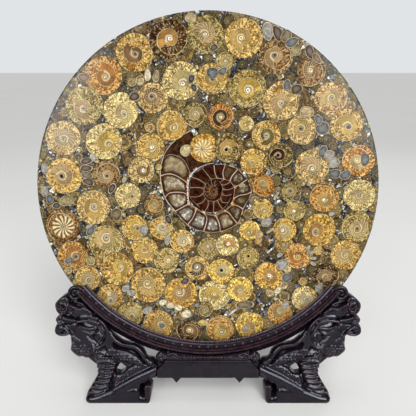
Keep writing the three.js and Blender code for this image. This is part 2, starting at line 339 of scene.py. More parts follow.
# Each whole ammonite: middle u and v, radius, place of the heart, then the tones of the outer
# whorl, the next one and the heart. The first SOLID_AMMONITES stand for solids of the frame.
AMMONITES = [
    (-62, 115, 16.5, -61.5, 114, "gold", "brown", "slate"),
    (-33, 126, 17, -32, 126.5, "dark_brown", "orange", "white"),
    (-2, 130, 16, -2.5, 130, "olive", "pink", "white"),
    (30, 127, 16.5, 27.5, 127, "gold", "gold", "cream"),
    (57, 111.5, 15, 56, 113, "brown", "pink", "slate"),
    (87.5, 100, 13, 87, 101, "brown", "brown", "cream"),
    (-88.5, 96.5, 16.5, -87, 95, "orange", "amber", "cream"),
    (-106, 71, 16.5, -107, 68.5, "olive", "pink", "grey"),
    (-74.5, 67, 15.5, -72, 64, "pale", "pale", "grey"),
    (-47, 78, 13.5, -48, 79, "beige", "brown", "slate"),
    (-23, 92, 16.5, -21.5, 89.5, "pale", "pale", "white"),
    (3.5, 94, 13.5, 4, 93, "gold", "deep_gold", "slate"),
    (34, 86, 16.5, 34, 84, "olive", "yellow", "white"),
    (62, 75, 16.5, 63, 73, "beige", "pink", "grey"),
    (105, 77, 14.5, 106, 78, "pink", "beige", "grey"),
    (119, 55, 14.5, 121, 53, "gold", "yellow", "slate"),
    (-125, 44, 15.5, -125, 43, "beige", "pink", "grey"),
    (-90, 41, 16, -85, 38, "pale", "yellow", "cream"),
    (-50, 35.5, 13, -48, 36, "gold", "deep_gold", "white"),
    (-31.5, 54.5, 13.5, -29, 52.5, "gold", "deep_gold", "cream"),
    (81, 51, 13, 80, 52, "beige", "gold", "slate"),
    (50.5, 46, 13, 50, 46, "gold", "dark_olive", "grey"),
    (-125.5, 11.5, 16, -128, 11, "gold", "pink", "red_brown"),
    (-89, 12.5, 12.5, -88, 11, "brown", "pink", "red_brown"),
    (-70, -6, 11.8, -66, -7, "pale", "beige", "brown"),
    (-101, -16.5, 15.5, -100, -16, "beige", "gold", "grey"),
    (-128, -33, 15.5, -127.5, -34, "brown", "cream", "grey"),
    (-91, -47.5, 16, -90, -43, "olive", "beige", "grey"),
    (-3.5, 35.5, 12.8, -5, 34, "deep_gold", "cream", "grey"),
    (18, 35.5, 13, 15.5, 33.5, "dark_olive", "gold", "black"),
    (39.5, 23.5, 12, 38, 22.5, "gold", "yellow", "grey"),
    (62, 28.5, 12, 60.5, 29, "dark_olive", "red_brown", "red_brown"),
    (90.5, 19.5, 15.5, 91, 17.5, "beige", "pink", "white"),
    (131, 24, 14.5, 129, 25, "orange", "beige", "cream"),
    (102, -7.5, 13.3, 102, -10, "orange", "gold", "white"),
    (133, -6, 14.5, 132, -6, "pale", "beige", "grey"),
    (98.5, -36.5, 15, 95, -38.5, "deep_gold", "orange", "grey"),
    (132, -34, 14.5, 132, -36, "olive", "beige", "brown"),
    (-121, -60, 14, -117.5, -60.5, "orange", "amber", "slate"),
    (-81, -72, 15.3, -78, -70, "gold", "yellow", "white"),
    (-56.5, -55, 12.5, -57, -54, "gold", "gold", "orange"),
    (-54, -87, 16.5, -54.5, -85, "gold", "gold", "cream"),
    (-24, -94.5, 15, -26, -93.5, "deep_gold", "orange", "white"),
    (5.5, -96, 14.3, 6, -95, "pale", "yellow", "cream"),
    (29, -90.5, 12, 29, -92, "yellow", "gold", "grey"),
    (55, -78.5, 13.3, 55, -78, "deep_gold", "orange", "white"),
    (123, -59.5, 14.5, 122, -59, "gold", "gold", "cream"),
    (-45, -123, 14, -42, -125, "gold", "deep_gold", "slate"),
    (11, -127.5, 13, 12.5, -131, "orange", "yellow", "white"),
    (38, -124, 13, 36, -127, "yellow", "orange", "white"),
    (-11, 63.5, 11, -11, 64, "dark_olive", "olive", "cream"),
    (11, 62, 11.5, 11, 61.5, "amber", "dark_brown", "cream"),
    (33, 56.5, 7, 32, 55, "pale", "yellow", "cream"),
    (-58, 16, 12, -56, 16, "beige", "brown", "white"),
    (48, 3, 10.5, 48, 5, "amber", "deep_gold", "grey"),
    (72, -2, 10, 72, -2, "dark_olive", "olive", "slate"),
    (48, -17.5, 9.5, 50, -20, "gold", "yellow", "cream"),
    (76, -19, 10, 75.5, -20, "olive", "gold", "white"),
    (37, -37, 9.5, 36, -39, "yellow", "deep_gold", "white"),
    (68, -36.5, 11, 66, -37, "deep_gold", "pale", "white"),
    (-47.5, -14.5, 9.5, -47, -14, "brown", "gold", "grey"),
    (-41, -35, 11, -40, -34, "gold", "cream", "grey"),
    (-65, -34.5, 12, -62, -35, "gold", "yellow", "slate"),
    (-23, -46.5, 11, -21, -47, "gold", "cream", "cream"),
    (1, -53, 10.5, 0, -51, "olive", "beige", "white"),
    (17.5, -50, 10.5, 18, -49, "pale", "orange", "white"),
    (-37, -64.5, 12, -35, -64, "olive", "gold", "cream"),
    (-9.5, -71.5, 11.5, -10, -70, "gold", "red_brown", "white"),
    (12, -74, 12, 12, -73, "yellow", "pale", "black"),
    (36, -62, 10.5, 36, -60, "olive", "yellow", "black"),
    (80, -60, 12, 80, -61, "orange", "amber", "yellow"),
    (-108, -80.5, 12, -106.5, -82.5, "gold", "beige", "grey"),
    (105.5, -78, 12, 105.5, -79, "dark_brown", "brown", "orange"),
    (87, -99, 12, 89.5, -100.5, "pale", "cream", "grey"),
    (-88, -97, 12, -87.5, -102, "gold", "cream", "grey"),
    (-70, -113, 12, -69, -116.5, "olive", "pale", "brown"),
    (-17, -130, 12, -17, -129, "dark_brown", "brown", "cream"),
    (65, -113, 11.5, 65, -111, "orange", "gold", "grey"),
    (-125, -73, 4, -125, -73, "beige", "brown", "cream"),
    (14, 108, 8, 15, 108, "olive", "olive", "cream"),
    (-50, 53, 5, -50, 53, "gold", "brown", "cream"),
    (-43, 19, 3.2, -43, 19, "yellow", "yellow", "cream"),
    (56, -94, 4.5, 56, -94, "gold", "cream", "brown"),
    (68, -87, 4, 68, -87, "cream", "brown", "grey"),
    (71, -72, 4, 71, -72, "beige", "cream", "slate"),
    (-3, -110, 8, -3, -110, "dark_olive", "olive", "cream"),
    (98, -55, 4.5, 98, -54, "yellow", "pale", "cream"),
    (85, -83, 4.5, 85, -83, "deep_gold", "gold", "cream"),
    (-105, -65, 5, -105, -65, "olive", "olive", "grey"),
    (-57, 92, 5, -57, 92, "brown", "cream", "grey"),
    (-65, 91, 4.5, -65, 91, "olive", "olive", "slate"),
]
SOLID_AMMONITES = 50

# Single chambers, crystals and shell bits: u, v, half length, half width, turn and tone.
FRAGMENTS = [
    (-105.5, 94.5, 5.5, 4, 0, "brown"), (-51, 97, 5.5, 3, 90, "cream"),
    (-44, 96, 5.5, 3, 80, "olive"), (-63, 79, 5, 4, 10, "dark_brown"),
    (-14, 143, 5, 4, 0, "beige"), (50, 132, 8, 4.5, 100, "grey"),
    (58.5, 131, 7.5, 4, 110, "dark_brown"), (66, 129, 6, 4.5, 60, "dark_olive"),
    (71, 123.5, 6.5, 4, 25, "slate"), (74, 115.5, 5, 4, 0, "olive"),
    (86, 116, 7, 4, 110, "dark_brown"), (92, 110, 6, 3, 130, "brown"),
    (98, 52, 6.5, 5.5, 20, "slate"), (95, 59, 5, 3.5, 110, "slate"),
    (85, 66, 6.5, 5.5, 0, "beige"), (99, 32, 6, 4, 70, "slate"),
    (105, 29, 5, 4, 40, "grey"), (109, 22, 5.8, 4.5, 20, "grey"),
    (110, 13, 6, 4.2, 0, "slate"), (120, 12, 5.5, 4, 30, "slate"),
    (-106, 24, 6, 3.2, 10, "dark_brown"), (-106.5, 18, 6, 3.2, 0, "dark_brown"),
    (-106, 12, 6, 3.2, -10, "dark_olive"), (-105, 6, 6, 3.2, -20, "dark_brown"),
    (-100, 27, 3.8, 2.4, 120, "grey"), (-142, 17, 3, 5, 0, "grey"),
    (-143.5, -2, 3, 5, 0, "grey"), (-139, -9, 3.5, 4.5, 0, "slate"),
    (-124, -11, 7, 4.5, 10, "olive"), (-133, -15, 4, 3, 0, "black"),
    (-84, 0, 5.5, 3, 60, "red_brown"), (-81, -23, 5, 6, 0, "dark_olive"),
    (-104, -37, 6, 3.5, 60, "slate"), (-105, -33, 4, 1.6, 30, "grey"),
    (-36, -45, 5.2, 2.6, 80, "grey"), (45, -40, 4, 3, 0, "gold"),
    (45, -46, 4, 3, 60, "deep_gold"), (52, -30, 5, 4, 30, "grey"),
    (55, -37, 5, 1.3, 35, "grey"), (109, -22, 3, 2, 20, "grey"),
    (60, -6, 5, 1.3, 60, "grey"), (64, -59, 3, 2, 30, "grey"),
    (-73, 8, 3, 2, 60, "grey"), (-74, -90, 4, 3, 40, "grey"),
    (-69, -94, 4, 3, 0, "grey"), (-55, -110, 5, 3, 30, "grey"),
    (32, -105, 9, 4, 5, "dark_olive"), (22, -112, 6, 1.2, 40, "white"),
    (-5, -122, 5, 3, 0, "yellow"), (-20, -114, 5, 4, 20, "cream"),
    (63, -92, 4, 3, 50, "cream"), (71, -80, 5, 4.5, 0, "slate"),
    (66, -68, 6, 5, 30, "grey"), (70, -105, 5, 3, 60, "grey"),
    (-14, 94, 4, 3, 70, "black"), (-12, 86, 4, 2.6, 110, "black"),
    (4, 98, 5.5, 5, 0, "slate"), (12, 100, 5, 3, 30, "slate"),
    (67, 88, 5, 3.4, 80, "slate"), (75, 85, 5.5, 4.4, 20, "dark_brown"),
    (5, 119, 4, 3, 30, "dark_brown"), (-35, -27, 5, 3, 120, "black"),
    (-57, -37, 4, 5, 0, "grey"), (78, -8, 4, 3, 20, "dark_brown"),
    (136, 25, 4, 6, 0, "slate"), (-41, -103, 4, 3, 20, "cream"),
    (-34, -106, 4, 3, 0, "cream"), (-27, -107.5, 4, 3, -10, "cream"),
    (-21, -83, 5, 3, 20, "red_brown"), (100, -89, 5, 3, 60, "grey"),
    (102, -94, 4, 3, 90, "grey"), (34, -127, 3.2, 2.4, 0, "grey"),
    (89, -53, 3.4, 1.6, 60, "grey"), (92, -57, 3.4, 1.6, 30, "grey"),
    (94, -62, 3.4, 1.6, 0, "grey"), (94, -67, 3.4, 1.6, -30, "grey"),
    (-42, -125, 2.8, 2.8, 0, "slate"), (-124, -64, 5, 3, 30, "slate"),
    (-19, 33, 5.6, 4.6, 60, "pale"), (30, 3, 3, 2, 0, "olive"),
]

# ---------- polished fossils ----------

# The fossils are thin lenses a hair above the face, each ammonite a step higher than the last.
INLAY_BASE = 0.03
INLAY_STEP = 0.003
INLAY_DEPTH = 1.6
EDGE_BEVEL = 0.12
DISC_SIDES = 56
CHAMBERS_A_WHORL = 17
STAR_RAYS = 13

# Socket values that all the polished surfaces share.
POLISH = {"Specular_IOR_Level": 0.13, "Coat_Weight": 0.05, "Coat_Roughness": 0.08}
LINE_TONE = rgb(232, 216, 172)
EDGE_TONE = rgb(20, 16, 15)
AMBER_GRAIN = rgb(172, 120, 38)
BROWNER = rgb(202, 164, 108)
# The small ammonites are tinted with this faint yellow.
HONEY = rgb(248, 246, 234)


def whorl_wires(g):
    """What the parts of the pattern share: the attributes, the spiral, distances and clouds."""
    w = SimpleNamespace(here=g.place(), disc=g.attribute("whorl"))
    growth, w.size, w.seed = g.parts(g.attribute("knobs"))
    w.ray_strength, w.mottle_strength, w.heart_size = g.parts(g.attribute("style"))
    w.line_strength, w.brightness, w.stain_strength = g.parts(g.attribute("trim"))
    w.star_reach = g.parts(g.attribute("star"))[0]
    w.outer, w.inner, w.heart, w.ray = (g.attribute(name) for name in ("outer", "inner", "heart", "ray"))

    # The spiral: the whorl a point is in, how far across it and how far along.
    w.shift = g.drift(w.here, 3.2)
    x, y, _ = g.parts(g.moved(w.disc, w.shift, 0.12))
    w.reach = g.most(g.length(g.joined(x, y)), 0.012)
    w.turn = g.math("ARCTAN2", y, x) / (2 * math.pi)
    spread = g.math("LOGARITHM", growth, math.e)
    wound = g.math("LOGARITHM", w.reach, math.e) / spread + w.turn
    w.whorl = g.math("FLOOR", wound)
    w.across = wound - w.whorl
    w.along = w.turn - w.whorl
    w.third = g.math("LESS_THAN", w.whorl, -2.5)

    # Distances in millimetres to the nearest wall between whorls and to the outer edge.
    w.to_wall = g.least(w.across, 1 - w.across) * (w.reach * spread * w.size)
    w.to_edge = (1 - g.length(w.disc)) * w.size

    # Chambers with curved septa, and a random number for each.
    count = w.along * CHAMBERS_A_WHORL + w.across * w.across * 1.1
    chamber = g.math("FLOOR", count)
    in_chamber = count - chamber
    w.pick = g.wire("TexWhiteNoise", {"Vector": g.joined(chamber, w.seed)}, "Value")
    w.rays = g.step(g.least(in_chamber, 1 - in_chamber), 0.22, 0.06)

    # Folded sutures: small cells drawn out towards the heart.
    w.bent = g.moved(w.here, w.shift, 2.6)
    folds = g.joined(w.along * (w.size * 4.8), w.across * 5.4, w.seed)
    folds = g.moved(folds, w.shift, 1.6)
    w.grain = g.tones(folds, 1.0)
    w.dark = g.most(g.step(w.grain[1], 0.28, 0.14), g.seams(folds, 1.0, 0.14) * 0.85)
    w.clouds = g.noise(w.here, 5.0, detail=3.0)
    w.fine = g.noise(w.bent, 1.5, detail=3.0, rough=0.7)
    return w


def outer_whorl(g, w):
    """Grained by its folded sutures, chamber by chamber lighter or darker, stained and flecked."""
    tone = g.shaded(w.outer, w.clouds, 0.3, 0.7, 0.80, 1.20)
    tone = g.shaded(tone, w.grain[0], 0.0, 1.0, 0.34, 1.98)
    tone = g.shaded(tone, w.fine, 0.34, 0.66, 0.38, 1.86)
    tone = g.mix(g.step(w.grain[2], 0.22, 0.06, 0.0, 0.5), tone, AMBER_GRAIN)
    tone = g.shaded(tone, w.pick, 0.0, 1.0, 0.86, 1.12)
    stain = g.step(g.noise(g.moved(w.here, w.disc, 7.0), 11.0), 0.5, 0.62) * w.stain_strength
    tone = g.mix(stain, tone, g.mix(1.0, tone, BROWNER, "MULTIPLY"))
    tone = g.mix(w.dark * w.mottle_strength, tone, g.lit(w.outer, 0.22))
    flecks = g.step(w.grain[2], 0.76, 0.86) * 0.8
    tone = g.mix(flecks, tone, g.mix(0.4, g.lit(w.outer, 1.9), LINE_TONE))
    return g.mix(w.rays * 0.22, tone, g.lit(w.outer, 0.4))


def next_whorl(g, w):
    """Smoother than the outer whorl, and darker towards one end."""
    tone = g.shaded(w.inner, g.math("FRACT", w.along + w.seed * 0.37), 0.0, 1.0, 0.58, 1.16)
    tone = g.shaded(tone, w.fine, 0.28, 0.72, 0.68, 1.34)
    tone = g.shaded(tone, w.clouds, 0.3, 0.7, 0.84, 1.14)
    tone = g.mix(w.dark * 0.34, tone, g.lit(w.inner, 0.42))
    return g.mix(w.rays * w.ray_strength, tone, w.ray)


def pale_comma(g, w):
    """The whorls next to the heart."""
    tone = g.shaded(g.mix(0.62, w.inner, TONES["cream"]), w.fine, 0.25, 0.75, 0.84, 1.10)
    return g.mix(w.rays * (w.ray_strength * 0.6), tone, w.ray)


def crystal_hollow(g, w):
    """The heart: glittering crystal round a black point."""
    crystal = g.shaded(w.heart, g.tones(w.bent, 0.9)[0], 0.1, 0.9, 0.6, 1.5)
    return g.mix(g.step(w.reach, 0.05, 0.025), crystal, TONES["black"])


def pale_star(g, w):
    """Pale wedges between rays of the outer tone."""
    spoke = g.math("FRACT", w.turn * STAR_RAYS + w.reach * 0.9)
    wedge = g.step(g.least(spoke, 1 - spoke), 0.16, 0.34)
    return g.mix(wedge, g.lit(w.outer, 0.95), g.shaded(TONES["cream"], w.fine, 0.25, 0.75, 0.74, 1.22))


def whorl_walls(g, w, colour, off_heart):
    """Dark walls in the comma, and pale ones that come and go, thinner towards the heart."""
    coil = g.step(w.to_wall, 0.62, 0.22) * (w.third * off_heart)
    colour = g.mix(coil * 0.78, colour, TONES["brown"])
    near_wall = w.to_wall / (0.12 + w.reach * 0.16)
    beside = g.step(near_wall, 5.0, 1.2) * off_heart
    colour = g.mix(beside * 0.42, colour, TONES["dark_brown"])
    kept = g.step(g.noise(w.here, 4.0), 0.36, 0.6, 0.35, 1.0) * w.line_strength * (1 - w.third * 0.8)
    line = g.step(near_wall, 1.4, 0.5) * (off_heart * kept)
    return g.mix(line, colour, LINE_TONE)


def outer_edge(g, w, colour):
    """A pale skin that comes and goes, and a dark line round it."""
    skin_share = g.step(g.noise(w.here, 7.0), 0.42, 0.66, 0.0, 0.75) * w.line_strength
    colour = g.mix(g.step(w.to_edge, 0.85, 0.5) * skin_share, colour, LINE_TONE)
    return g.mix(g.step(w.to_edge, 0.6, 0.3) * 0.9, colour, EDGE_TONE)


def fossil_material():
    """Cut whorls in the unit disc that the attribute whorl gives, in the piece's three tones."""
    g = Graph("polished_ammonite")
    w = whorl_wires(g)
    second = g.math("LESS_THAN", w.whorl, -1.5)
    colour = g.mix(second, outer_whorl(g, w), next_whorl(g, w))
    colour = g.mix(w.third, colour, pale_comma(g, w))
    on_star = g.step(w.reach - w.star_reach, 0.02, -0.02) * g.step(w.reach, 0.13, 0.17)
    colour = g.mix(on_star, colour, pale_star(g, w))
    in_heart = g.step(w.reach / w.heart_size, 1.15, 0.9)
    colour = g.mix(in_heart, colour, crystal_hollow(g, w))
    colour = whorl_walls(g, w, colour, 1 - g.most(in_heart, on_star))
    colour = g.mix(1.0, outer_edge(g, w, colour), HONEY, "MULTIPLY")
    return g.finish(g.lit(colour, w.brightness), g.step(w.clouds, 0.3, 0.7, 0.14, 0.24), **POLISH)


# An ammonite's outline waves a little. It draws in along the whorl, then steps out again at its
# open end.
WAVES = (2, 3, 5)
WAVE_SIZES = (0.004, 0.014)
PHASES = (0, 6.28)
LIP_SIZES = (0.03, 0.13)
LIP_SHARE = 0.35
LIP_FALL = 12
RINGS_INSIDE = 5


def disc_rings(middle, heart, radius, seed):
    """Rings of a coiled outline from the heart outwards, and where their points lie in a unit disc."""
    rng = random.Random(seed)
    facing = rng.uniform(0, 2 * math.pi)
    hand = rng.choice((-1, 1))
    waves = [(k, rng.uniform(*WAVE_SIZES), rng.uniform(*PHASES)) for k in WAVES]
    angles = around(DISC_SIDES)
    wobble = 1 + sum(size * np.sin(k * angles + phase) for k, size, phase in waves)
    since = np.mod(hand * (angles - facing), 2 * math.pi) / (2 * math.pi)
    lip = rng.uniform(*LIP_SIZES)
    wobble *= 1 + LIP_SHARE * lip - lip * np.minimum(since, LIP_FALL * (1 - since))
    outline = np.array(middle) + radius * wobble[:, None] * np.c_[np.cos(angles), np.sin(angles)]
    unit = np.c_[np.cos(hand * (angles - facing)), np.sin(hand * (angles - facing))]
    shares = np.r_[np.linspace(0, 1, RINGS_INSIDE + 2)[1:-1], 1 - EDGE_BEVEL / radius, 1]
    rings = [np.array(heart) + share * (outline - heart) for share in shares]
    return rings, disc_places(unit, shares)


def lens(rings, height, depth, heart):
    """Closed solid under rings of (u, v): flat on top, with a fine bevel and straight sides."""
    levels = [height] * (len(rings) - 1) + [height - EDGE_BEVEL, height - depth]
    layers = [np.insert(ring, 2, level, axis=1) for ring, level in zip([*rings, rings[-1]], levels)]
    return skin(layers, (*heart, height), (*heart, height - depth))


def disc_places(unit, shares):
    """The places in the unit disc of a lens's mesh points, as rows of three."""
    rows = np.vstack([[(0, 0)], *[share * unit for share in shares], unit, [(0, 0)]])
    return np.c_[rows, np.zeros(len(rows))]


# The ammonites with a star at the heart, by their place in the list, and how far it reaches.
STARS = {28: 0.60, 26: 0.62}
FIELDS_SEED = 1000
# What each ammonite draws its own pattern from: how much wider it gets in a turn, how strong its
# rays and its dark mottling are, and how big its heart is.
GROWTHS = (1.8, 2.3)
RAY_STRENGTHS = (0.05, 0.1, 0.2, 0.5)
CREAM_RAYS = 0.75
MOTTLE_STRENGTHS = (0.55, 0.9)
HEART_SIZES = (0.07, 0.135)
BRIGHT_TONES = ("cream", "yellow", "pale", "white")
# Whole and buried ones: strength of the pale lines, range of brightness.
WHOLE_LOOK = (0.85, (0.92, 1.14))
BURIED_LOOK = (0.25, (0.42, 0.8))
WHOLE_STAINS = (0.2, 1.0)
BURIED_STAIN = 0.4


def coil_fields(places, radius, seed, outer, inner, heart, buried):
    """The attribute rows of one ammonite's mesh points. Buried ones are dim and weakly drawn."""
    rng = random.Random(FIELDS_SEED + seed)
    growth = rng.uniform(*GROWTHS)
    rays = rng.choice(RAY_STRENGTHS) if inner != "cream" else CREAM_RAYS
    mottle, heart_size = rng.uniform(*MOTTLE_STRENGTHS), rng.uniform(*HEART_SIZES)
    line, levels = BURIED_LOOK if buried else WHOLE_LOOK
    brightness = rng.uniform(*levels)
    stain = BURIED_STAIN if buried else rng.uniform(*WHOLE_STAINS)
    return {
        "whorl": places,
        "knobs": (growth, radius, seed),
        "style": (rays, mottle, heart_size),
        "trim": (line, brightness, stain),
        "outer": TONES[outer],
        "inner": TONES[inner],
        "heart": TONES[heart],
        "ray": TONES["brown" if inner in BRIGHT_TONES else "cream"],
        "star": (STARS.get(seed, 0), 0, 0),
    }


COIL_FIELDS = ("whorl", "knobs", "style", "trim", "outer", "inner", "heart", "ray", "star")


def add_coil(pile, row, seed, height, buried=False):
    """One cut ammonite: a closed lens of eccentric rings about its heart."""
    u, v, radius, heart_u, heart_v, outer, inner, heart = row
    rings, places = disc_rings((u, v), (heart_u, heart_v), radius, seed)
    points, faces = lens(rings, height, INLAY_DEPTH, (heart_u, heart_v))
    fields = coil_fields(places, radius, seed, outer, inner, heart, buried)
    pile.add(wrapped(points), faces, **fields)


def add_ammonites(material):
    for index, row in enumerate(AMMONITES):
        pile = Pile(*COIL_FIELDS)
        add_coil(pile, row, index, INLAY_BASE + INLAY_STEP * index)
        solid = (f"ammonite_{index + 1:02d}",) if index < SOLID_AMMONITES else ()
        pile.piece(f"cut_ammonite_{index + 1:02d}", material, "golden_fossil", solid)


# The ammonites under the whole ones: tones to draw from, and how they are scattered, with a
# heart that is off the middle by up to a share of the radius.
BURIED_OUTERS = ["olive", "dark_olive", "beige", "dark_olive", "brown"]
BURIED_OUTERS += ["olive", "slate", "gold", "slate", "dark_olive"]
BURIED_INNERS = ["beige", "brown", "olive", "dark_olive", "dark_olive"]
BURIED_HEARTS = ["cream", "grey", "white"]
BURIED_SEED = 7
BURIED_TRIES = 9000
BURIED_RADII = (4.0, 10.0)
BURIED_SPACING = 0.85
BURIED_COVER = 0.5
HEART_SHIFT = 0.2
BURIED_BASE = 0.004
BURIED_STEP = 0.0001
BURIED_FIRST_SEED = 200
# They keep away from the big ammonite, the larger ones by more.
CENTRE_MIDDLE = (-2, 2)
CENTRE_REACH = 40
CENTRE_MARGIN = 0.6


def add_buried_ammonites(material):
    """Ammonites that lie under the whole ones and show only in the gaps between them."""
    rng = random.Random(BURIED_SEED)
    pile = Pile(*COIL_FIELDS)
    placed = []
    for _ in range(BURIED_TRIES):
        reach, angle = PLATE_RADIUS * math.sqrt(rng.random()), rng.uniform(0, 2 * math.pi)
        u, v = reach * math.cos(angle), reach * math.sin(angle)
        radius = rng.uniform(*BURIED_RADII)
        place = (u, v)
        covered = any(math.dist(place, row[:2]) < row[2] - BURIED_COVER for row in AMMONITES)
        crowded = any(math.dist(place, row[:2]) < BURIED_SPACING * (radius + row[2]) for row in placed)
        if covered or crowded or math.dist(place, CENTRE_MIDDLE) < CENTRE_REACH + CENTRE_MARGIN * radius:
            continue
        placed.append((u, v, radius))
        heart = [middle + rng.uniform(-HEART_SHIFT, HEART_SHIFT) * radius for middle in place]
        tones = [rng.choice(names) for names in (BURIED_OUTERS, BURIED_INNERS, BURIED_HEARTS)]
        height = BURIED_BASE + BURIED_STEP * len(placed)
        add_coil(pile, (u, v, radius, *heart, *tones), BURIED_FIRST_SEED + len(placed), height, True)
    pile.piece("buried_ammonites", material, "matrix")


# ---------- matrix ----------


def matrix_colour(g, here):
    """Shell hash: slate and brown resin packed with olive, gold and cream chips."""
    shift = g.drift(here, 2.5)
    bent = g.moved(here, shift, 3.0)
    pick = g.tones(bent, 3.1)
    chips = g.banded(pick[0], [
        (0.0, rgb(40, 39, 43)), (0.22, rgb(78, 80, 86)), (0.40, rgb(74, 56, 36)),
        (0.52, rgb(120, 104, 62)), (0.66, rgb(158, 134, 82)), (0.78, rgb(128, 130, 126)),
        (0.88, rgb(190, 168, 112)), (0.94, rgb(236, 230, 212)),
    ])
    small = g.tones(bent, 1.3)
    chips = g.shaded(chips, small[1], 0.0, 1.0, 0.45, 1.5)
    chips = g.mix(g.step(small[2], 0.90, 0.93, 0.0, 0.8), chips, rgb(226, 222, 210))
    seam = g.seams(bent, 3.1, 0.10)
    colour = g.mix(seam * 0.8, chips, rgb(30, 28, 32))
    fine = g.seams(bent, 1.3, 0.08)
    return g.mix(fine * 0.45, colour, rgb(34, 32, 36))


def matrix_material():
    g = Graph("polished_matrix")
    here = g.place()
    colour = matrix_colour(g, here)
    roughness = g.step(g.noise(here, 4.0), 0.3, 0.7, 0.18, 0.30)
    return g.finish(colour, roughness, **POLISH)


def back_material():
    """The back is the same matrix, honed: duller, greyer and finely scratched."""
    g = Graph("honed_matrix")
    here = g.place()
    colour = matrix_colour(g, here)
    film = g.step(g.noise(here, 14.0, detail=5.0), 0.35, 0.65, 0.45, 0.75)
    colour = g.mix(film, colour, rgb(96, 88, 76))
    x, _, z = g.parts(here)
    scratches = g.noise(g.joined(x * 0.12, 0.0, z), 0.5, detail=2.0)
    height = scratches * 0.4 + g.noise(here, 1.2)
    return g.finish(colour, g.step(film, 0.45, 0.75, 0.42, 0.62), height, depth=0.06)


SLAB_SIDES = 240
FACE_RINGS = (30, 60, 90, 120, 140)
ROUNDING_RINGS = 7
BACK_SKIN = 0.2


def add_slab():
    """The plate's body as a turned disc: polished face and rim, honed back."""
    arc = np.linspace(0, math.pi / 2, ROUNDING_RINGS)
    rounding = np.c_[np.sin(arc), np.cos(arc) - 1] * RIM_ROUNDING
    front = [(r, 0) for r in FACE_RINGS] + [(RIM_START + r, h) for r, h in rounding]
    back = [(r, -PLATE_THICKNESS - h) for r, h in front[::-1]]
    profile = [*front, (PLATE_RADIUS, -PLATE_THICKNESS / 2), *back]
    angles = around(SLAB_SIDES)
    rings = [np.c_[r * np.cos(angles), r * np.sin(angles), np.full(SLAB_SIDES, h)] for r, h in profile]
    points, faces = skin(rings, (0, 0, 0), (0, 0, -PLATE_THICKNESS))
    slab = add_piece(
        "polished_slab", to_world(points), faces, matrix_material(),
        stands_for=("matrix_slab",), smooth=True,
    )
    slab.data.materials.append(back_material())
    back_point = float(np.dot(FACE_MIDDLE, OUTWARD)) - (PLATE_THICKNESS - BACK_SKIN) * MM
    for polygon in slab.data.polygons:
        if np.dot(polygon.center, OUTWARD) < back_point:
            polygon.material_index = 1


def fragment_material():
    """Single chambers: a dark skin, a pale wall and clouded crystal inside."""
    g = Graph("chamber_fragment")
    here = g.place()
    disc = g.attribute("whorl")
    tone = g.attribute("outer")
    size = g.parts(g.attribute("knobs"))[1]
    shift = g.drift(here, 3.0)
    reach = g.length(g.moved(disc, shift, 0.25))
    to_edge = (1 - g.length(disc)) * size
    bent = g.moved(here, shift, 2.0)
    clouds = g.noise(bent, 2.2, detail=4.0)
    glitter = g.tones(bent, 1.0)[0]
    colour = g.shaded(tone, clouds, 0.3, 0.7, 0.55, 1.35)
    colour = g.shaded(colour, glitter, 0.0, 1.0, 0.72, 1.22)
    colour = g.mix(g.step(reach, 0.75, 0.2) * 0.35, colour, TONES["grey"])
    halo = g.step(reach, 0.55, 0.85)
    colour = g.mix(halo * 0.45, colour, TONES["dark_brown"])
    wall = g.step(to_edge, 0.85, 0.45) * g.step(g.noise(here, 5.0), 0.35, 0.6, 0.3, 0.95)
    colour = g.mix(wall, colour, rgb(196, 180, 150))
    colour = g.mix(g.step(to_edge, 0.28, 0.1), colour, TONES["black"])
    return g.finish(colour, g.step(clouds, 0.3, 0.7, 0.14, 0.26), **POLISH)


FRAGMENT_SEED = 500
FRAGMENT_EGG = 0.10
FRAGMENT_LOBES = 0.05
FRAGMENT_SIDES = 28
FRAGMENT_RINGS = (0.35, 0.7)
FRAGMENT_DEPTH = 1.0
FRAGMENT_LEVELS = 20


def add_fragments(material):
    pile = Pile("whorl", "knobs", "outer")
    for index, (u, v, length, width, turn, tone) in enumerate(FRAGMENTS):
        rng = random.Random(FRAGMENT_SEED + index)
        angles = around(FRAGMENT_SIDES)
        egg = 1 + FRAGMENT_EGG * np.cos(angles + rng.uniform(*PHASES))
        egg += FRAGMENT_LOBES * np.sin(3 * angles + index)
        across, down = math.cos(math.radians(turn)), math.sin(math.radians(turn))
        x, y = length * egg * np.cos(angles), width * egg * np.sin(angles)
        outline = np.c_[u + x * across - y * down, v + x * down + y * across]
        shares = (*FRAGMENT_RINGS, 1 - EDGE_BEVEL / width, 1)
        rings = [np.array((u, v)) + share * (outline - (u, v)) for share in shares]
        height = INLAY_BASE + INLAY_STEP * (len(AMMONITES) + index % FRAGMENT_LEVELS)
        points, faces = lens(rings, height, FRAGMENT_DEPTH, (u, v))
        whorl = disc_places(np.c_[np.cos(angles), np.sin(angles)], shares)
        pile.add(wrapped(points), faces, whorl=whorl, knobs=(0, width, index), outer=TONES[tone])
    pile.piece("chamber_fragments", material, "matrix")


# ---------- the big ammonite ----------

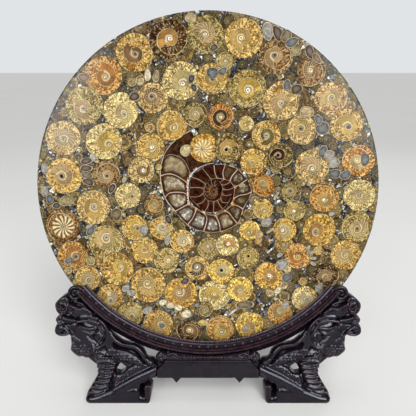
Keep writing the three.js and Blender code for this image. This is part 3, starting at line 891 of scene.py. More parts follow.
# Its septa from the aperture inwards, each from the outer wall to the inner one. The first
# three only shape the empty body chamber.
SEPTA = [
    [(-15, 50.5), (-9, 41), (-2, 30), (5, 22)],
    [(-25.5, 44.5), (-17, 37), (-9, 28), (-1, 21)],
    [(-34, 36.5), (-24, 34), (-15, 26), (-9, 17)],
    [(-39.5, 26), (-33.5, 30), (-28, 29), (-22, 26), (-17, 18), (-15, 11)],
    [(-42, 11), (-35, 13), (-29, 12), (-22, 8), (-17, 4)],
    [(-38, -8), (-34, -4), (-27, -3), (-20, -4), (-17, -8)],
    [(-29, -20), (-22, -16), (-16, -13)],
    [(-18, -32), (-13, -25), (-10, -17)],
    [(-4, -38), (-2, -32), (-1, -26), (-3, -22)],
    [(11, -38), (10, -31), (8, -26), (6, -23)],
    [(26, -31), (22, -26), (18, -21), (14, -20)],
    [(31, -18), (26, -15), (21, -14)],
    [(38, -3), (33, -5), (27, -6), (22, -9)],
    [(34, 8), (28, 4), (23, 1)],
    [(26, 17), (21, 11), (19, 6)],
    [(15, 21), (13, 14), (14, 8)],
    [(5, 21), (6, 14), (8, 9)],
    [(-5, 18), (-1, 13), (3, 8)],
    [(-14, 10), (-8, 8), (-2, 4)],
    [(-16, 1), (-8, 1), (-3, 0)],
    [(-16, -7), (-9, -7), (-4, -4)],
    [(-10, -14), (-5, -12), (-2, -8)],
    [(-3, -20), (0, -15), (0, -10)],
    [(5, -21), (5, -15), (5, -11)],
    [(13, -18), (10, -14), (8, -10)],
    [(18, -12), (13, -12), (11, -8)],
    [(21, -5), (15, -6), (12, -4)],
    [(22.5, 1), (17, -1), (12.6, 0)],
    [(19.5, 6), (15, 3.5), (11.5, 3.5)],
    [(14, 8), (11.5, 6.5), (9.5, 6)],
]
# The fill of each chamber: tone, how much pale crystal it holds, and how much of a white
# crystalline wall stands on its inner side.
CHAMBERS = (
    [("dark_brown", 0.0, 0.0)] * 2
    + [("dark_brown", 0.0, 0.7), ("horn", 0.1, 0.8), ("horn", 0.5, 1.0), ("horn", 0.55, 0.9)]
    + [("ash", 1.0, 0.2), ("ash", 1.0, 0.0), ("ash", 1.0, 0.0)]
    + [("horn", 0.35, 0.0), ("dark_horn", 0.3, 0.0), ("dark_horn", 0.1, 0.0), ("dark_horn", 0.3, 0.0)]
    + [("dark_horn", 0.4, 0.0), ("dark_horn", 0.1, 0.0)]
)
# Up to which chamber, how strongly the septa and the walls between the whorls are drawn.
LINE_STRENGTHS = [(16, 0.9, 0.85), (29, 0.6, 0.6), (42, 0.3, 0.6), (math.inf, 0.0, 0.45)]
# The body chamber has no septa, and the outer wall is worn off in places further in. A point
# that is far off from a wall shows nothing of it.
BODY_CHAMBERS = 3
WORN_FROM = 6
FAR_OFF = 50
# The outer chambers are long, so their mesh has more columns.
LONG_CHAMBERS = 24
LONG_COLUMNS = 10
SHORT_COLUMNS = 4
# A plain lens lies under the inner chambers, where their patches leave gaps.
BED_MIDDLE = (3, -1.5)
BED_HALVES = (21, 19.5)
BED_DROP = 0.002
BED_SIDES = 48
# The middle whorls: their heart, the ring they start on as its middle and half sizes, how they
# shrink with each turn and from which share of it, and how many septa they have in a turn.
COIL_HEART = (5.5, -2.5)
COIL_RING = (4.5, -1.5, 8.0, 9.5)
INNER_SHRINK = 0.45
INNER_HOLD = 0.3
INNER_START = math.radians(45)
INNER_TURN = 13
INNER_SEPTA = 30
SEPTUM_BOW = 0.12
CENTRE_HEIGHT = 0.04
CENTRE_STEP = 0.0005
CENTRE_DEPTH = 1.0
ACROSS = 12
CURVE_POINTS = 60


def run_along(curve):
    """The distance along a curve at each of its points."""
    return np.r_[0, np.cumsum(np.hypot(*np.diff(curve, axis=0).T))]


def at_distances(curve, wanted):
    """The points at these distances along a curve."""
    run = run_along(curve)
    return np.c_[np.interp(wanted, run, curve[:, 0]), np.interp(wanted, run, curve[:, 1])]


def resampled(points, count):
    """Evenly spaced points on a smooth curve through the given ones."""
    points = np.asarray(points, float)
    dense = np.array([catmull(points, t) for t in np.linspace(0, len(points) - 1, CURVE_POINTS)])
    return at_distances(dense, np.linspace(0, run_along(dense)[-1], count))


def catmull(points, t):
    """A Catmull-Rom curve through rows of any shape, at t rows along."""
    i = min(int(t), len(points) - 2)
    f = t - i
    before, start = points[max(i - 1, 0)], points[i]
    end, after = points[i + 1], points[min(i + 2, len(points) - 1)]
    return 0.5 * (
        2 * start + (end - before) * f
        + (2 * before - 5 * start + 4 * end - after) * f ** 2
        + (3 * start - before - 3 * end + after) * f ** 3
    )


def inner_septa():
    """The septa of the tight middle whorls, which wind in about the heart."""
    heart = np.array(COIL_HEART)
    u, v, half_width, half_height = COIL_RING
    rows = []
    for i in range(1, INNER_SEPTA):
        turns = i / INNER_TURN
        angle = INNER_START + 2 * math.pi * turns
        whole, share = divmod(turns, 1)
        eased = max((share - INNER_HOLD) / (1 - INNER_HOLD), 0)
        shrink = INNER_SHRINK ** (whole + eased * eased * (3 - 2 * eased))
        ring = np.array([u + half_width * math.cos(angle), v + half_height * math.sin(angle)])
        outside = heart + (ring - heart) * shrink
        inside = heart + (outside - heart) * INNER_SHRINK
        bow = SEPTUM_BOW * np.array([-(outside - inside)[1], (outside - inside)[0]])
        rows.append(resampled([outside, (outside + inside) / 2 + bow, inside], ACROSS + 1))
    return rows


def patch(grid, height, depth):
    """Closed slab under a grid of (u, v) points."""
    rows, columns = grid.shape[:2]
    under = rows * columns
    top = np.c_[grid.reshape(-1, 2), np.full(under, height)]
    at = np.arange(under).reshape(rows, columns)
    quads = np.stack([at[:-1, :-1], at[:-1, 1:], at[1:, 1:], at[1:, :-1]], 2).reshape(-1, 4)
    rim = np.r_[at[0], at[1:, -1], at[-1, -2::-1], at[-2:0:-1, 0]]
    after = np.roll(rim, -1)
    sides = np.c_[after, rim, rim + under, after + under]
    faces = np.vstack([quads, quads[:, ::-1] + under, sides]).tolist()
    return np.vstack([top, top - (0, 0, depth)]), faces


def chamber_wires(g):
    """What the parts of the pattern share: the attributes, clouds and the depth of the fill."""
    w = SimpleNamespace(here=g.place(), tone=g.attribute("outer"))
    w.to_septum, w.to_outer, w.to_inner = g.parts(g.attribute("edges"))
    w.crystal, w.filled, w.septum_strength = g.parts(g.attribute("fill"))
    w.white_wall, w.wall_strength, w.worn_off = g.parts(g.attribute("trim"))
    w.bent = g.moved(w.here, g.drift(w.here, 3.0), 2.5)
    w.waver = (g.noise(w.here, 3.0, detail=2.0) - 0.5) * 1.1
    w.clouds = g.noise(w.bent, 3.4, detail=4.0)

    # Millimetres inside the halo that lines every chamber, which is widest at the inner wall.
    span = w.to_outer + w.to_inner
    inside = g.math("SMOOTH_MIN", w.to_outer - span * 0.1, w.to_inner - span * 0.15, 2.6)
    w.inside = g.math("SMOOTH_MIN", inside, w.to_septum - 1.5, 4.5) + w.waver
    return w


def brown_halo(g, w):
    """Translucent brown, amber in the inner corners."""
    halo = g.mix(g.step(w.clouds, 0.35, 0.68), rgb(22, 8, 4), rgb(92, 50, 16))
    halo = g.mix(g.step(w.to_septum, 2.6, 0.8) * 0.5, halo, rgb(104, 62, 26))
    corner = g.step(w.to_inner, 3.4, 0.8) * g.step(w.to_septum, 2.2, 0.6)
    glow = corner * g.step(g.noise(w.here, 6.0), 0.34, 0.52)
    halo = g.mix(glow, halo, rgb(214, 136, 16))
    return g.mix((1 - w.filled) * 0.8, halo, g.shaded(w.tone, w.clouds, 0.3, 0.7, 0.25, 1.15))


def clouded_fill(g, w):
    """Darker at its edge, pale in the middle, with white grains where it is crystal."""
    tone = g.mix(g.step(w.inside, -0.3, 3.0), rgb(62, 36, 18), w.tone)
    tone = g.shaded(tone, w.clouds, 0.3, 0.7, 0.66, 1.30)
    white = g.step(w.clouds, 0.47, 0.62) * g.step(w.inside, 0.2, 1.6) * w.crystal
    tone = g.mix(white * 0.85, tone, rgb(228, 224, 212))
    dark_grain = g.step(g.noise(w.bent, 1.1, detail=2.0), 0.52, 0.66) * (w.crystal * 0.75)
    return g.mix(dark_grain, tone, rgb(64, 58, 54))


def pale_walls(g, w, colour):
    """Pale septa and walls with a dark line beside them, and white crust on some inner walls."""
    wide = g.step(g.noise(w.here, 8.0), 0.35, 0.65, 0.26, 0.44) * (0.45 + w.wall_strength * 0.6)
    near_septum = (w.to_septum + w.waver * 0.2) / wide
    side_wide = wide * (1.9 - w.worn_off * 0.9)
    near_side = (g.least(w.to_outer, w.to_inner) + w.waver * 0.2) / side_wide
    shade = g.step(g.least(near_septum, near_side), 4.2, 1.4)
    colour = g.mix(shade * 0.5, colour, rgb(24, 12, 9))
    bare = g.step(w.to_outer / wide, 1.6, 0.9) * g.step(g.noise(w.here, 9.0), 0.48, 0.56) * w.worn_off
    septum_line = g.step(near_septum, 1.3, 0.7) * w.septum_strength
    side_line = g.step(near_side, 1.3, 0.7) * w.wall_strength
    line = g.most(septum_line, side_line) * (1 - bare)
    colour = g.mix(line, colour, g.mix(w.wall_strength, rgb(120, 84, 66), rgb(214, 194, 176)))
    crust = g.step(w.to_inner, 2.4, 1.6) * w.white_wall
    crust = crust * g.step(g.noise(w.bent, 1.5, detail=2.0), 0.46, 0.54)
    return g.mix(crust, colour, rgb(226, 218, 204))


def centre_material():
    """The big ammonite: brown translucent chambers, crystal in them, pale septa and walls."""
    g = Graph("big_ammonite")
    w = chamber_wires(g)
    share = g.step(w.inside, -1.1, 0.1) * w.filled
    colour = g.mix(share, brown_halo(g, w), clouded_fill(g, w))
    return g.finish(pale_walls(g, w, colour), g.step(w.clouds, 0.3, 0.7, 0.10, 0.20), **POLISH)


def add_centre(material):
    """Every chamber is its own patch between two septa, with its distances to them."""
    curves = np.array([resampled(row, ACROSS + 1) for row in SEPTA] + inner_septa())
    pile = Pile("edges", "fill", "trim", "outer")
    angles = around(BED_SIDES)
    bed = np.c_[np.cos(angles), np.sin(angles)] * BED_HALVES
    rings = [bed * share + BED_MIDDLE for share in (0.5, 1, 1)]
    points, faces = lens(rings, CENTRE_HEIGHT - BED_DROP, CENTRE_DEPTH, BED_MIDDLE)
    pile.add(points, faces, edges=FAR_OFF, fill=0, trim=0, outer=TONES["red_brown"])
    down = np.arange(ACROSS + 1) / ACROSS
    for index in range(len(curves) - 1):
        has_fill = index < len(CHAMBERS)
        tone, crystal, white_wall = CHAMBERS[index] if has_fill else ("red_brown", 0.0, 0.0)
        columns = LONG_COLUMNS if index < LONG_CHAMBERS else SHORT_COLUMNS
        grid = np.array([catmull(curves, index + j / columns) for j in range(columns + 1)])
        lengths = np.hypot(*(grid[-1] - grid[0]).T)
        spans = np.hypot(*(grid[:, -1] - grid[:, 0]).T)
        along = np.minimum(np.arange(columns + 1), columns - np.arange(columns + 1)) / columns
        in_body = index < BODY_CHAMBERS
        to_septum = np.outer(along, lengths) + (FAR_OFF if in_body else 0)
        edges = np.stack([to_septum, np.outer(spans, down), np.outer(spans, 1 - down)], 2).reshape(-1, 3)
        points, faces = patch(grid, CENTRE_HEIGHT + CENTRE_STEP * index, CENTRE_DEPTH)
        septum, wall = next(row[1:] for row in LINE_STRENGTHS if index < row[0])
        pile.add(
            points, faces,
            edges=np.vstack([edges, edges]),
            fill=(crystal, has_fill and not in_body, septum),
            trim=(white_wall, wall, index >= WORN_FROM),
            outer=TONES[tone],
        )
    pile.piece("cut_ammonite_centre", material, "dark_fossil", ("ammonite_centre",))


# ---------- carving ----------

# Levels of the rail's front and of the dragons' and the rail's back.
FRAME_FRONT = 10
FRAME_BACK = -4
# The y and z of the middle of the face, in millimetres.
CENTRE_BACK = float(FACE_MIDDLE[1]) / MM
CENTRE_RISE = float(FACE_MIDDLE[2]) / MM
# A dragon is a flat block with an even mesh, whose front and back are then moved.
BLOCK_HALF = 7
CARVING_GRID = 0.72
MASS_STEP = 1.5
LINE_POINTS = 24
LOOP_POINTS = 20
LEAST_PACE = 0.05


def looped(points, step=0.9):
    """A smooth closed curve through the points, with a point about every step millimetres."""
    rows = np.array([points[-1], *points, points[0], points[1]], float)
    times = np.linspace(1, len(points) + 1, LOOP_POINTS * len(points), endpoint=False)
    dense = np.array([catmull(rows, t) for t in times])
    dense = np.vstack([dense, dense[:1]])
    length = run_along(dense)[-1]
    return at_distances(dense, np.linspace(0, length, int(length / step), endpoint=False))


def from_line(points, line):
    """Distance of each (u, v) from an open line, and the share of the line where it is nearest."""
    best = np.full(len(points), 1e9)
    share = np.zeros(len(points))
    run = run_along(line)
    for i, length in enumerate(np.diff(run)):
        way = line[i + 1] - line[i]
        part = np.clip((points - line[i]) @ way / max(way @ way, 1e-9), 0, 1)
        distance = np.hypot(*(points - line[i] - part[:, None] * way).T)
        nearer = distance < best
        best = np.where(nearer, distance, best)
        share = np.where(nearer, (run[i] + part * length) / run[-1], share)
    return best, share


def inside_by(points, loop):
    """How far each (u, v) lies inside a closed curve; negative outside it."""
    distance, _ = from_line(points, np.vstack([loop, loop[:1]]))
    inside = np.zeros(len(points), bool)
    x, y = points.T
    for (ax, ay), (bx, by) in zip(loop, np.roll(loop, -1, axis=0)):
        if ay != by:
            inside ^= ((ay > y) != (by > y)) & (x < (bx - ax) * (y - ay) / (by - ay) + ax)
    return np.where(inside, distance, -distance)


def rolled(depth, roll):
    """Rise of a rounded edge: 0 on the outline, 1 from roll millimetres inside it."""
    share = np.clip(depth / roll, 0, 1)
    return np.sqrt(1 - (1 - share) ** 2)


def evaluated(holder):
    return holder.evaluated_get(bpy.context.evaluated_depsgraph_get())


def block(loops):
    """Evenly meshed slab with the given outlines, BLOCK_HALF to each side of zero."""
    curve = bpy.data.curves.new("outline", "CURVE")
    curve.dimensions = "2D"
    curve.fill_mode = "BOTH"
    curve.extrude = BLOCK_HALF
    for loop in loops:
        spline = curve.splines.new("POLY")
        spline.points.add(len(loop) - 1)
        rows = np.c_[loop, np.zeros(len(loop)), np.ones(len(loop))]
        spline.points.foreach_set("co", rows.ravel())
        spline.use_cyclic_u = True
    drawn = shown("outline", curve)
    solid = bpy.data.meshes.new_from_object(evaluated(drawn))
    bpy.data.objects.remove(drawn)
    holder = shown("block", solid)
    remesh = holder.modifiers.new("even", "REMESH")
    remesh.mode = "VOXEL"
    remesh.voxel_size = CARVING_GRID
    mesh = evaluated(holder).to_mesh()
    points = np.empty(3 * len(mesh.vertices))
    mesh.vertices.foreach_get("co", points)
    faces = [tuple(face.vertices) for face in mesh.polygons]
    points = points.reshape(-1, 3).copy()
    bpy.data.objects.remove(holder)
    return points, faces


def neighbours(faces, count):
    """The edges of a mesh both ways round, as two arrays, and how many meet at each point."""
    pairs = {tuple(sorted(pair)) for face in faces for pair in zip(face, (*face[1:], face[0]))}
    first, second = np.array(sorted(pairs)).T
    ends, starts = np.r_[first, second], np.r_[second, first]
    return ends, starts, np.maximum(np.bincount(ends, minlength=count), 1)[:, None]


def spread_over(values, links):
    """The mean of each point's neighbours."""
    ends, starts, number = links
    total = np.zeros_like(values)
    np.add.at(total, ends, values[starts])
    return total / number


def softened(values, links, times):
    for _ in range(times):
        values = 0.5 * values + 0.5 * spread_over(values, links)
    return values


def crests(mesh, faces):
    """Attribute rows that are high on crests and edges and low in hollows."""
    points = np.array([vertex.co for vertex in mesh.vertices]) / MM
    normals = np.array([vertex.normal for vertex in mesh.vertices])
    links = neighbours(faces, len(points))
    ends, starts, number = links
    lengths = np.linalg.norm(points[ends] - points[starts], axis=1)
    pace = np.bincount(ends, lengths, len(points))[:, None] / number
    apart = points - spread_over(points, links)
    height = np.sum(apart * normals, axis=1, keepdims=True) / np.maximum(pace, LEAST_PACE)
    height = softened(height, links, 2)
    return np.c_[height, np.zeros((len(points), 2))]


def add_lacquered(name, points, faces, material, solids, sharp=40):
    """A lacquered piece from world points, with its crests marked for the worn edges and its hollows for
    the painted shade in them.
    """
    piece = add_piece(name, points, faces, material, stands_for=solids, smooth=True)
    mesh = piece.data
    # High values mark crests for the worn edges; low values mark hollows for the painted shade.
    add_field(mesh, "wear_and_hollow_shade", crests(mesh, faces))
    mesh.set_sharp_from_angle(angle=math.radians(sharp))


def lacquer_material():
    """Near-black purple-brown lacquer: red-brown where edges are worn, and black painted shade in the
    hollows.
    """
    g = Graph("dark_lacquer")
    here = g.place()
    wear_and_hollow_shade = g.parts(g.attribute("wear_and_hollow_shade"))[0]
    x, y, z = g.parts(here)
    patches = g.noise(here, 9.0, detail=4.0)
    fibre = g.noise(g.joined(x * 0.18, y, z), 1.1, detail=3.0)
    dents = g.noise(here, 2.2, detail=2.0)
    colour = g.mix(g.step(patches, 0.35, 0.65), rgb(15, 11, 21), rgb(24, 16, 25))
    colour = g.shaded(colour, fibre, 0.3, 0.7, 0.8, 1.25)
    worn = g.step(wear_and_hollow_shade, 0.05, 0.24) * g.step(g.noise(here, 4.0), 0.35, 0.65, 0.15, 0.75)
    colour = g.mix(worn, colour, rgb(84, 46, 48))
    # Painted shade: the hollows are darkened to near black, as if in shadow.
    colour = g.mix(g.step(wear_and_hollow_shade, -0.04, -0.2), colour, rgb(7, 5, 7))
    height = fibre * 0.5 + dents
    roughness = g.step(patches, 0.3, 0.7, 0.20, 0.32)
    return g.finish(
        colour, roughness, height, depth=0.10,
        Specular_IOR_Level=0.30, Coat_Weight=0.12, Coat_Roughness=0.08,
        Specular_Tint=(0.88, 0.88, 1.0, 1),
    )


# ---------- the dragons ----------

# The left-hand dragon as seen from the front; the right-hand one is its mirror image.
DRAGON_OUTLINE = [
    (-46.3, -158.5), (-48.4, -157), (-48.8, -154), (-51.4, -153), (-54.8, -152.2), (-56.2, -148.8),
    (-58.2, -144.2), (-61, -141.4), (-65.5, -139.2), (-70.5, -138.4), (-76, -137.4), (-80.2, -134.4),
    (-84.2, -130), (-88.2, -125), (-93, -118.2), (-100, -112), (-106, -106.8), (-112, -101.5),
    (-117, -99.8), (-121.5, -98.5), (-122.5, -96), (-125, -94), (-129, -95), (-133, -98.5),
    (-135.5, -102), (-135.8, -106), (-133.5, -109.5), (-131, -111.8), (-134, -113.3), (-136, -116),
    (-135.2, -119.5), (-136.8, -123), (-137, -127), (-135, -130.5), (-131, -131.5), (-125, -131.4),
    (-123.5, -135), (-123.2, -140), (-124, -146), (-120, -149.5), (-117, -152), (-113, -150.6),
    (-109, -153.5), (-105, -157), (-100.8, -161), (-99.2, -166), (-101.5, -171), (-105.6, -178.5),
    (-109, -184), (-111, -188.5), (-110, -192.3), (-105.5, -193.5), (-95, -193.5), (-86, -193.5),
    (-77, -193.5), (-68, -193.5), (-60, -193.5), (-53.5, -193.5), (-51.8, -188), (-50.8, -182),
    (-51, -178), (-53, -176.6), (-57, -176.6), (-55, -174.6), (-50, -171.6), (-46.3, -170.5),
    (-46.3, -164.5),
]
DRAGON_HOLE = [
    (-79.5, -158.6), (-77, -160.2), (-74.6, -162.6), (-76, -165.2), (-80, -167.6), (-84, -166.6),
    (-82, -162),
]

# Rounded masses: height of the top, width of the rounded edge, outline.
SWELLS = [
    (7.6, 4.5, [(-121.5, -98.5), (-125, -94), (-129, -95.5), (-133, -98.5), (-135.5, -102),
        (-135.5, -106), (-133, -110), (-130.5, -112), (-118, -115), (-103, -114), (-103, -106),
        (-112, -101)]),
    (9.8, 3.2, [(-134, -100), (-132.5, -96.5), (-126.5, -94), (-122.8, -97), (-123.5, -101),
        (-129, -99.8)]),
    (9.3, 4.5, [(-122, -104), (-117, -110.5), (-111, -113), (-103, -112.5), (-102, -108),
        (-108, -104.5)]),
    (7.2, 4, [(-130.5, -113), (-134, -113.5), (-136, -116), (-135, -119.5), (-136.8, -123),
        (-137, -127), (-135, -130.5), (-131, -131.5), (-125, -131), (-119, -122), (-112, -118),
        (-118, -116)]),
    (9.7, 3, [(-133.6, -122.5), (-130.5, -121.4), (-128.4, -124), (-129.4, -127.4), (-132.6, -128),
        (-134.6, -125.5)]),
    (8.2, 6, [(-106, -118), (-119, -122), (-123.5, -131), (-123.5, -140), (-124, -146), (-117, -152),
        (-108, -153), (-98, -147), (-90, -142), (-87, -130), (-94, -119)]),
    (8.8, 2.4, [(-98, -127), (-94.8, -131.5), (-98, -136.5), (-101.8, -132.5)]),
    (9.2, 2.6, [(-90, -127), (-84.8, -127.5), (-84.2, -135), (-85.5, -142.5), (-91, -143)]),
    (8.4, 4, [(-101, -147), (-89, -143.5), (-75, -145), (-64, -150.5), (-56.5, -156.5), (-60, -161),
        (-72, -157), (-82, -154.5), (-100, -156)]),
    (10, 4, [(-90, -142.5), (-83.5, -142.2), (-81, -145), (-84.5, -147.5), (-90.5, -146.5)]),
    (8, 4, [(-100, -154), (-83, -155), (-84, -162), (-86, -170), (-89, -176), (-92, -183), (-110, -192),
        (-109, -186), (-104, -177), (-99.5, -169.5), (-99.5, -162)]),
    (8.2, 3, [(-78, -166.5), (-70, -160), (-57, -157.5), (-50, -158.5), (-60, -166), (-74, -174),
        (-88, -182), (-86.5, -173), (-84, -168)]),
    (9.4, 5, [(-46.3, -157.5), (-58, -163.5), (-72, -171), (-86, -180.5), (-100, -187), (-110, -189),
        (-110, -203), (-64, -203), (-61, -181), (-57, -176.6), (-50, -171.6), (-46.3, -170.5)]),
    (11, 5, [(-109.5, -188.6), (-94, -187), (-80, -181), (-66, -179), (-62, -183), (-60, -187.5),
        (-53, -189), (-53, -203), (-112, -203)]),
    (10.4, 1.6, [(-51, -178), (-52.5, -177), (-57, -177), (-58, -180), (-57.6, -187), (-58, -203),
        (-53.5, -203), (-51.8, -188)]),
]
# Rounded cords: height of the crest, radius at the start and at the end, middle line.
CORDS = [
    (9.4, 1.5, 1.9, [(-127, -96), (-132.5, -98.8), (-134, -103.5), (-132.8, -107.8), (-130, -111)]),
    (10.2, 1.3, 0.9, [(-130, -100.8), (-126.6, -101.6), (-124.9, -105), (-126.8, -108.2),
        (-130, -107.4), (-130.3, -104.6), (-128.4, -104)]),
    (9.9, 1, 1.2, [(-122.5, -102.6), (-118, -104.8), (-114.5, -106.6), (-111.2, -105.2)]),
    (10.4, 1.5, 1.5, [(-124, -110.8), (-123, -111)]),
    (9.8, 1.6, 2.2, [(-113, -113.4), (-106, -113.2), (-99, -115.2)]),
    (10.2, 1.6, 2.4, [(-116, -117.4), (-107, -117), (-98, -119.6)]),
    (9.8, 1.4, 2, [(-114, -122.2), (-107, -124.4), (-100.5, -123.8)]),
    (9.6, 1.2, 1.6, [(-110.5, -127), (-105.5, -129.2), (-101.5, -128.4)]),
    (10, 1.3, 1.8, [(-99.5, -118.5), (-95.8, -124.5), (-94, -130), (-97.5, -137)]),
    (9.8, 1.6, 2.6, [(-96, -116.5), (-91.5, -122), (-89.4, -128.5), (-90.8, -135), (-95.5, -140.5),
        (-101.5, -144)]),
    (9.6, 1.1, 1.5, [(-114, -123.5), (-110, -129.5), (-105, -137), (-102, -143.5)]),
    (9.5, 1.2, 0.9, [(-128, -123.6), (-124.8, -127.4), (-120.5, -131.7), (-114.5, -136)]),
    (8.8, 1.5, 1.2, [(-131, -113.6), (-134.4, -116), (-133, -119), (-129.6, -119.6)]),
    (9.2, 1.6, 1.4, [(-131.4, -121), (-135, -124), (-135, -128.2), (-131.4, -130.2), (-126.6, -129.8)]),
    (10, 2.2, 2.8, [(-86, -131), (-82.5, -135.4), (-77, -138.9), (-71, -140.1), (-66, -141.2),
        (-61.8, -144.2), (-58.6, -148.6), (-56, -153), (-52.4, -155.6)]),
    (10.6, 3.2, 3.2, [(-52.6, -155.8), (-51.6, -156.4)]),
    (11.4, 4.4, 7, [(-46.3, -162.2), (-55, -166.6), (-64.5, -171.6), (-74, -177.2), (-84, -183.6)]),
    (11.6, 7, 4, [(-84, -184.6), (-93, -188), (-100, -190.4), (-106, -191)]),
    (9.9, 1.4, 1.4, [(-99.4, -155.4), (-91, -154.6), (-83.6, -156.8)]),
    (9.9, 1.6, 1.4, [(-98.9, -160), (-91.5, -161.2), (-84.8, -160.6)]),
    (9.9, 1.6, 1.4, [(-98.6, -164.4), (-92, -165.7), (-86, -164.8)]),
    (9.8, 1.7, 1.5, [(-99.2, -169), (-93.5, -170.2), (-88, -169.2)]),
    (9.7, 1.8, 1.6, [(-101.6, -174), (-95.5, -175.2), (-89.6, -174)]),
    (9.6, 1.8, 1.6, [(-104.6, -179.2), (-98, -180.4), (-91.4, -178.6)]),
    (9.4, 1.8, 1.5, [(-107.6, -184.4), (-101.5, -185), (-94.5, -182.6)]),
]
# Cuts: depth, half width, middle line.
CUTS = [
    (4.5, 1.3, [(-121.5, -100.9), (-116.5, -102.5), (-112.5, -104)]),
    (2.2, 1, [(-130.5, -112.2), (-124, -114.6), (-114, -115.4)]),
    (2, 0.9, [(-129, -120.4), (-120, -120.2), (-112.5, -119.8)]),
    (2.6, 1.2, [(-85, -138.4), (-78, -142.8), (-70, -144.2), (-63.6, -147.8), (-59.5, -153),
        (-57, -157)]),
    (1.8, 0.8, [(-98, -125.6), (-93.6, -131.5), (-98, -138), (-103, -132.6), (-98, -125.6)]),
    (2, 0.9, [(-101, -146), (-94, -149.5), (-86, -150.5), (-82.5, -153.4)]),
    (5.5, 2, [(-59.2, -177.6), (-60.2, -181.5), (-59.6, -185.4)]),
    (1.6, 0.9, [(-83, -166), (-84.5, -172), (-87.5, -177.5)]),
    (1.2, 0.7, [(-118.5, -124.5), (-121.5, -131), (-119.5, -138), (-112.5, -145)]),
]
# Where the skin is scaled: height of the scales, their spacing, outline.
SCALED = [
    (1.4, 3, [(-99, -148), (-89, -146.5), (-77, -147), (-65, -151.5), (-57.5, -157), (-61, -160),
        (-72, -156.4), (-82, -154), (-99, -154.5)]),
    (1.2, 3.2, [(-121.5, -136), (-115.5, -138), (-107.5, -140), (-103, -147), (-106, -152),
        (-116, -149.8), (-122.5, -145)]),
    (1, 3, [(-104, -139), (-98, -140.5), (-95, -146), (-100, -147.5), (-104, -146)]),
    (1.2, 3, [(-78, -167.5), (-71, -161.5), (-58, -159), (-66, -166), (-76, -173), (-85, -178.5),
        (-84, -171)]),
]
BODY_TOP = 5.4
BODY_ROLL = 2.2
SWELL_DROP = 0.62
CORD_DROP = 1.25
SCALE_ROW = 0.8
SCALE_STRETCH = 0.8
SCALE_GROOVE = -0.4
SCALE_FADE = 1.5
# Within the first radius the carving lies in front of the cradle and its back stands clear of
# it; from the second one outwards it is full depth.
CRADLE_CLEAR = (155.4, 156.6)
CRADLE_CLEAR_BACK = 4.7
BACK_ROLL = 1.4
LEAST_DEPTH = 1.0
# Inwards of this corner and above it the back is hollowed out towards the outline.
UNDERCUT = 7.0
UNDERCUT_ROLL = 4.0
UNDERCUT_CORNER = (-96, -158)
UNDERCUT_FADE = 5
# The foot is drawn out from the first level to reach the floor at the second.
FOOT_START = -186
FOOT_LEVEL = -193.5
SOLE = 0.4
DRAGON_SHARP = 60


def carved_front(places, outline_depth):
    """Height of the left-hand dragon's front at each (u, v)."""
    front = BODY_TOP - BODY_ROLL + BODY_ROLL * rolled(outline_depth, BODY_ROLL)
    for top, roll, outline in SWELLS:
        depth = inside_by(places, looped(outline, MASS_STEP))
        height = top - SWELL_DROP * roll * (1 - rolled(depth, roll))
        front = np.where(depth > 0, np.maximum(front, height), front)
    for top, start, end, line in CORDS:
        distance, share = from_line(places, resampled(line, LINE_POINTS))
        radius = start + (end - start) * share
        bulge = np.sqrt(np.clip(1 - (distance / radius) ** 2, 0, 1))
        height = top - CORD_DROP * radius * (1 - bulge)
        front = np.where(distance < radius, np.maximum(front, height), front)
    for height, spacing, outline in SCALED:
        depth = inside_by(places, looped(outline, MASS_STEP))
        row = np.round(places[:, 1] / spacing / SCALE_ROW)
        across = places[:, 0] / spacing + 0.5 * (row % 2)
        du = (across - np.round(across)) * 2
        dv = (places[:, 1] / spacing / SCALE_ROW - row) * 2
        bump = np.clip(1 - du ** 2 - SCALE_STRETCH * dv ** 2, SCALE_GROOVE, 1)
        front = front + height * bump * np.clip(depth / SCALE_FADE, 0, 1)
    for depth, width, line in CUTS:
        distance, _ = from_line(places, resampled(line, LINE_POINTS))
        front = front - depth * np.clip(1 - (distance / width) ** 2, 0, 1)
    return front


def turned(faces, side):
    """The faces of a piece drawn for the left side, turned over if it stands on the right."""
    return [face[::-1] for face in faces] if side > 0 else faces


def dragon_levels(places, depth):
    """Height of the left-hand dragon's back and front at each (u, v)."""
    reach = np.hypot(*places.T)
    clear = np.clip((CRADLE_CLEAR[1] - reach) / (CRADLE_CLEAR[1] - CRADLE_CLEAR[0]), 0, 1)
    back = FRAME_BACK + BACK_ROLL * (1 - rolled(depth, BACK_ROLL))
    ribbon = np.prod(np.clip((places - UNDERCUT_CORNER) / UNDERCUT_FADE, 0, 1), axis=1)
    back = back + UNDERCUT * ribbon * (1 - rolled(depth, UNDERCUT_ROLL))
    back = back + (CRADLE_CLEAR_BACK - back) * clear
    return back, np.maximum(carved_front(places, depth), back + LEAST_DEPTH)


def footed(v, h):
    """v with the foot drawn out as far as the floor."""
    foot = (v - FOOT_START) / (FOOT_LEVEL - FOOT_START)
    floor = -(CENTRE_RISE + h * math.sin(LEAN)) / math.cos(LEAN)
    return np.where(v < FOOT_START, FOOT_START + np.minimum(foot, 1) * (floor - FOOT_START), v)


def dragon_shape():
    """The left-hand dragon: its points, its faces, and which points stand on the floor."""
    outline, hole = looped(DRAGON_OUTLINE), looped(DRAGON_HOLE)
    points, faces = block([outline, hole])
    places = points[:, :2]
    depth = np.minimum(inside_by(places, outline), -inside_by(places, hole))
    back, front = dragon_levels(places, depth)
    u, v, level = points.T
    h = back + (front - back) * np.clip((level + BLOCK_HALF) / (2 * BLOCK_HALF), 0, 1)
    shaped = softened(np.c_[u, footed(v, h), h], neighbours(faces, len(points)), 1)
    return shaped, faces, v < FOOT_LEVEL + SOLE


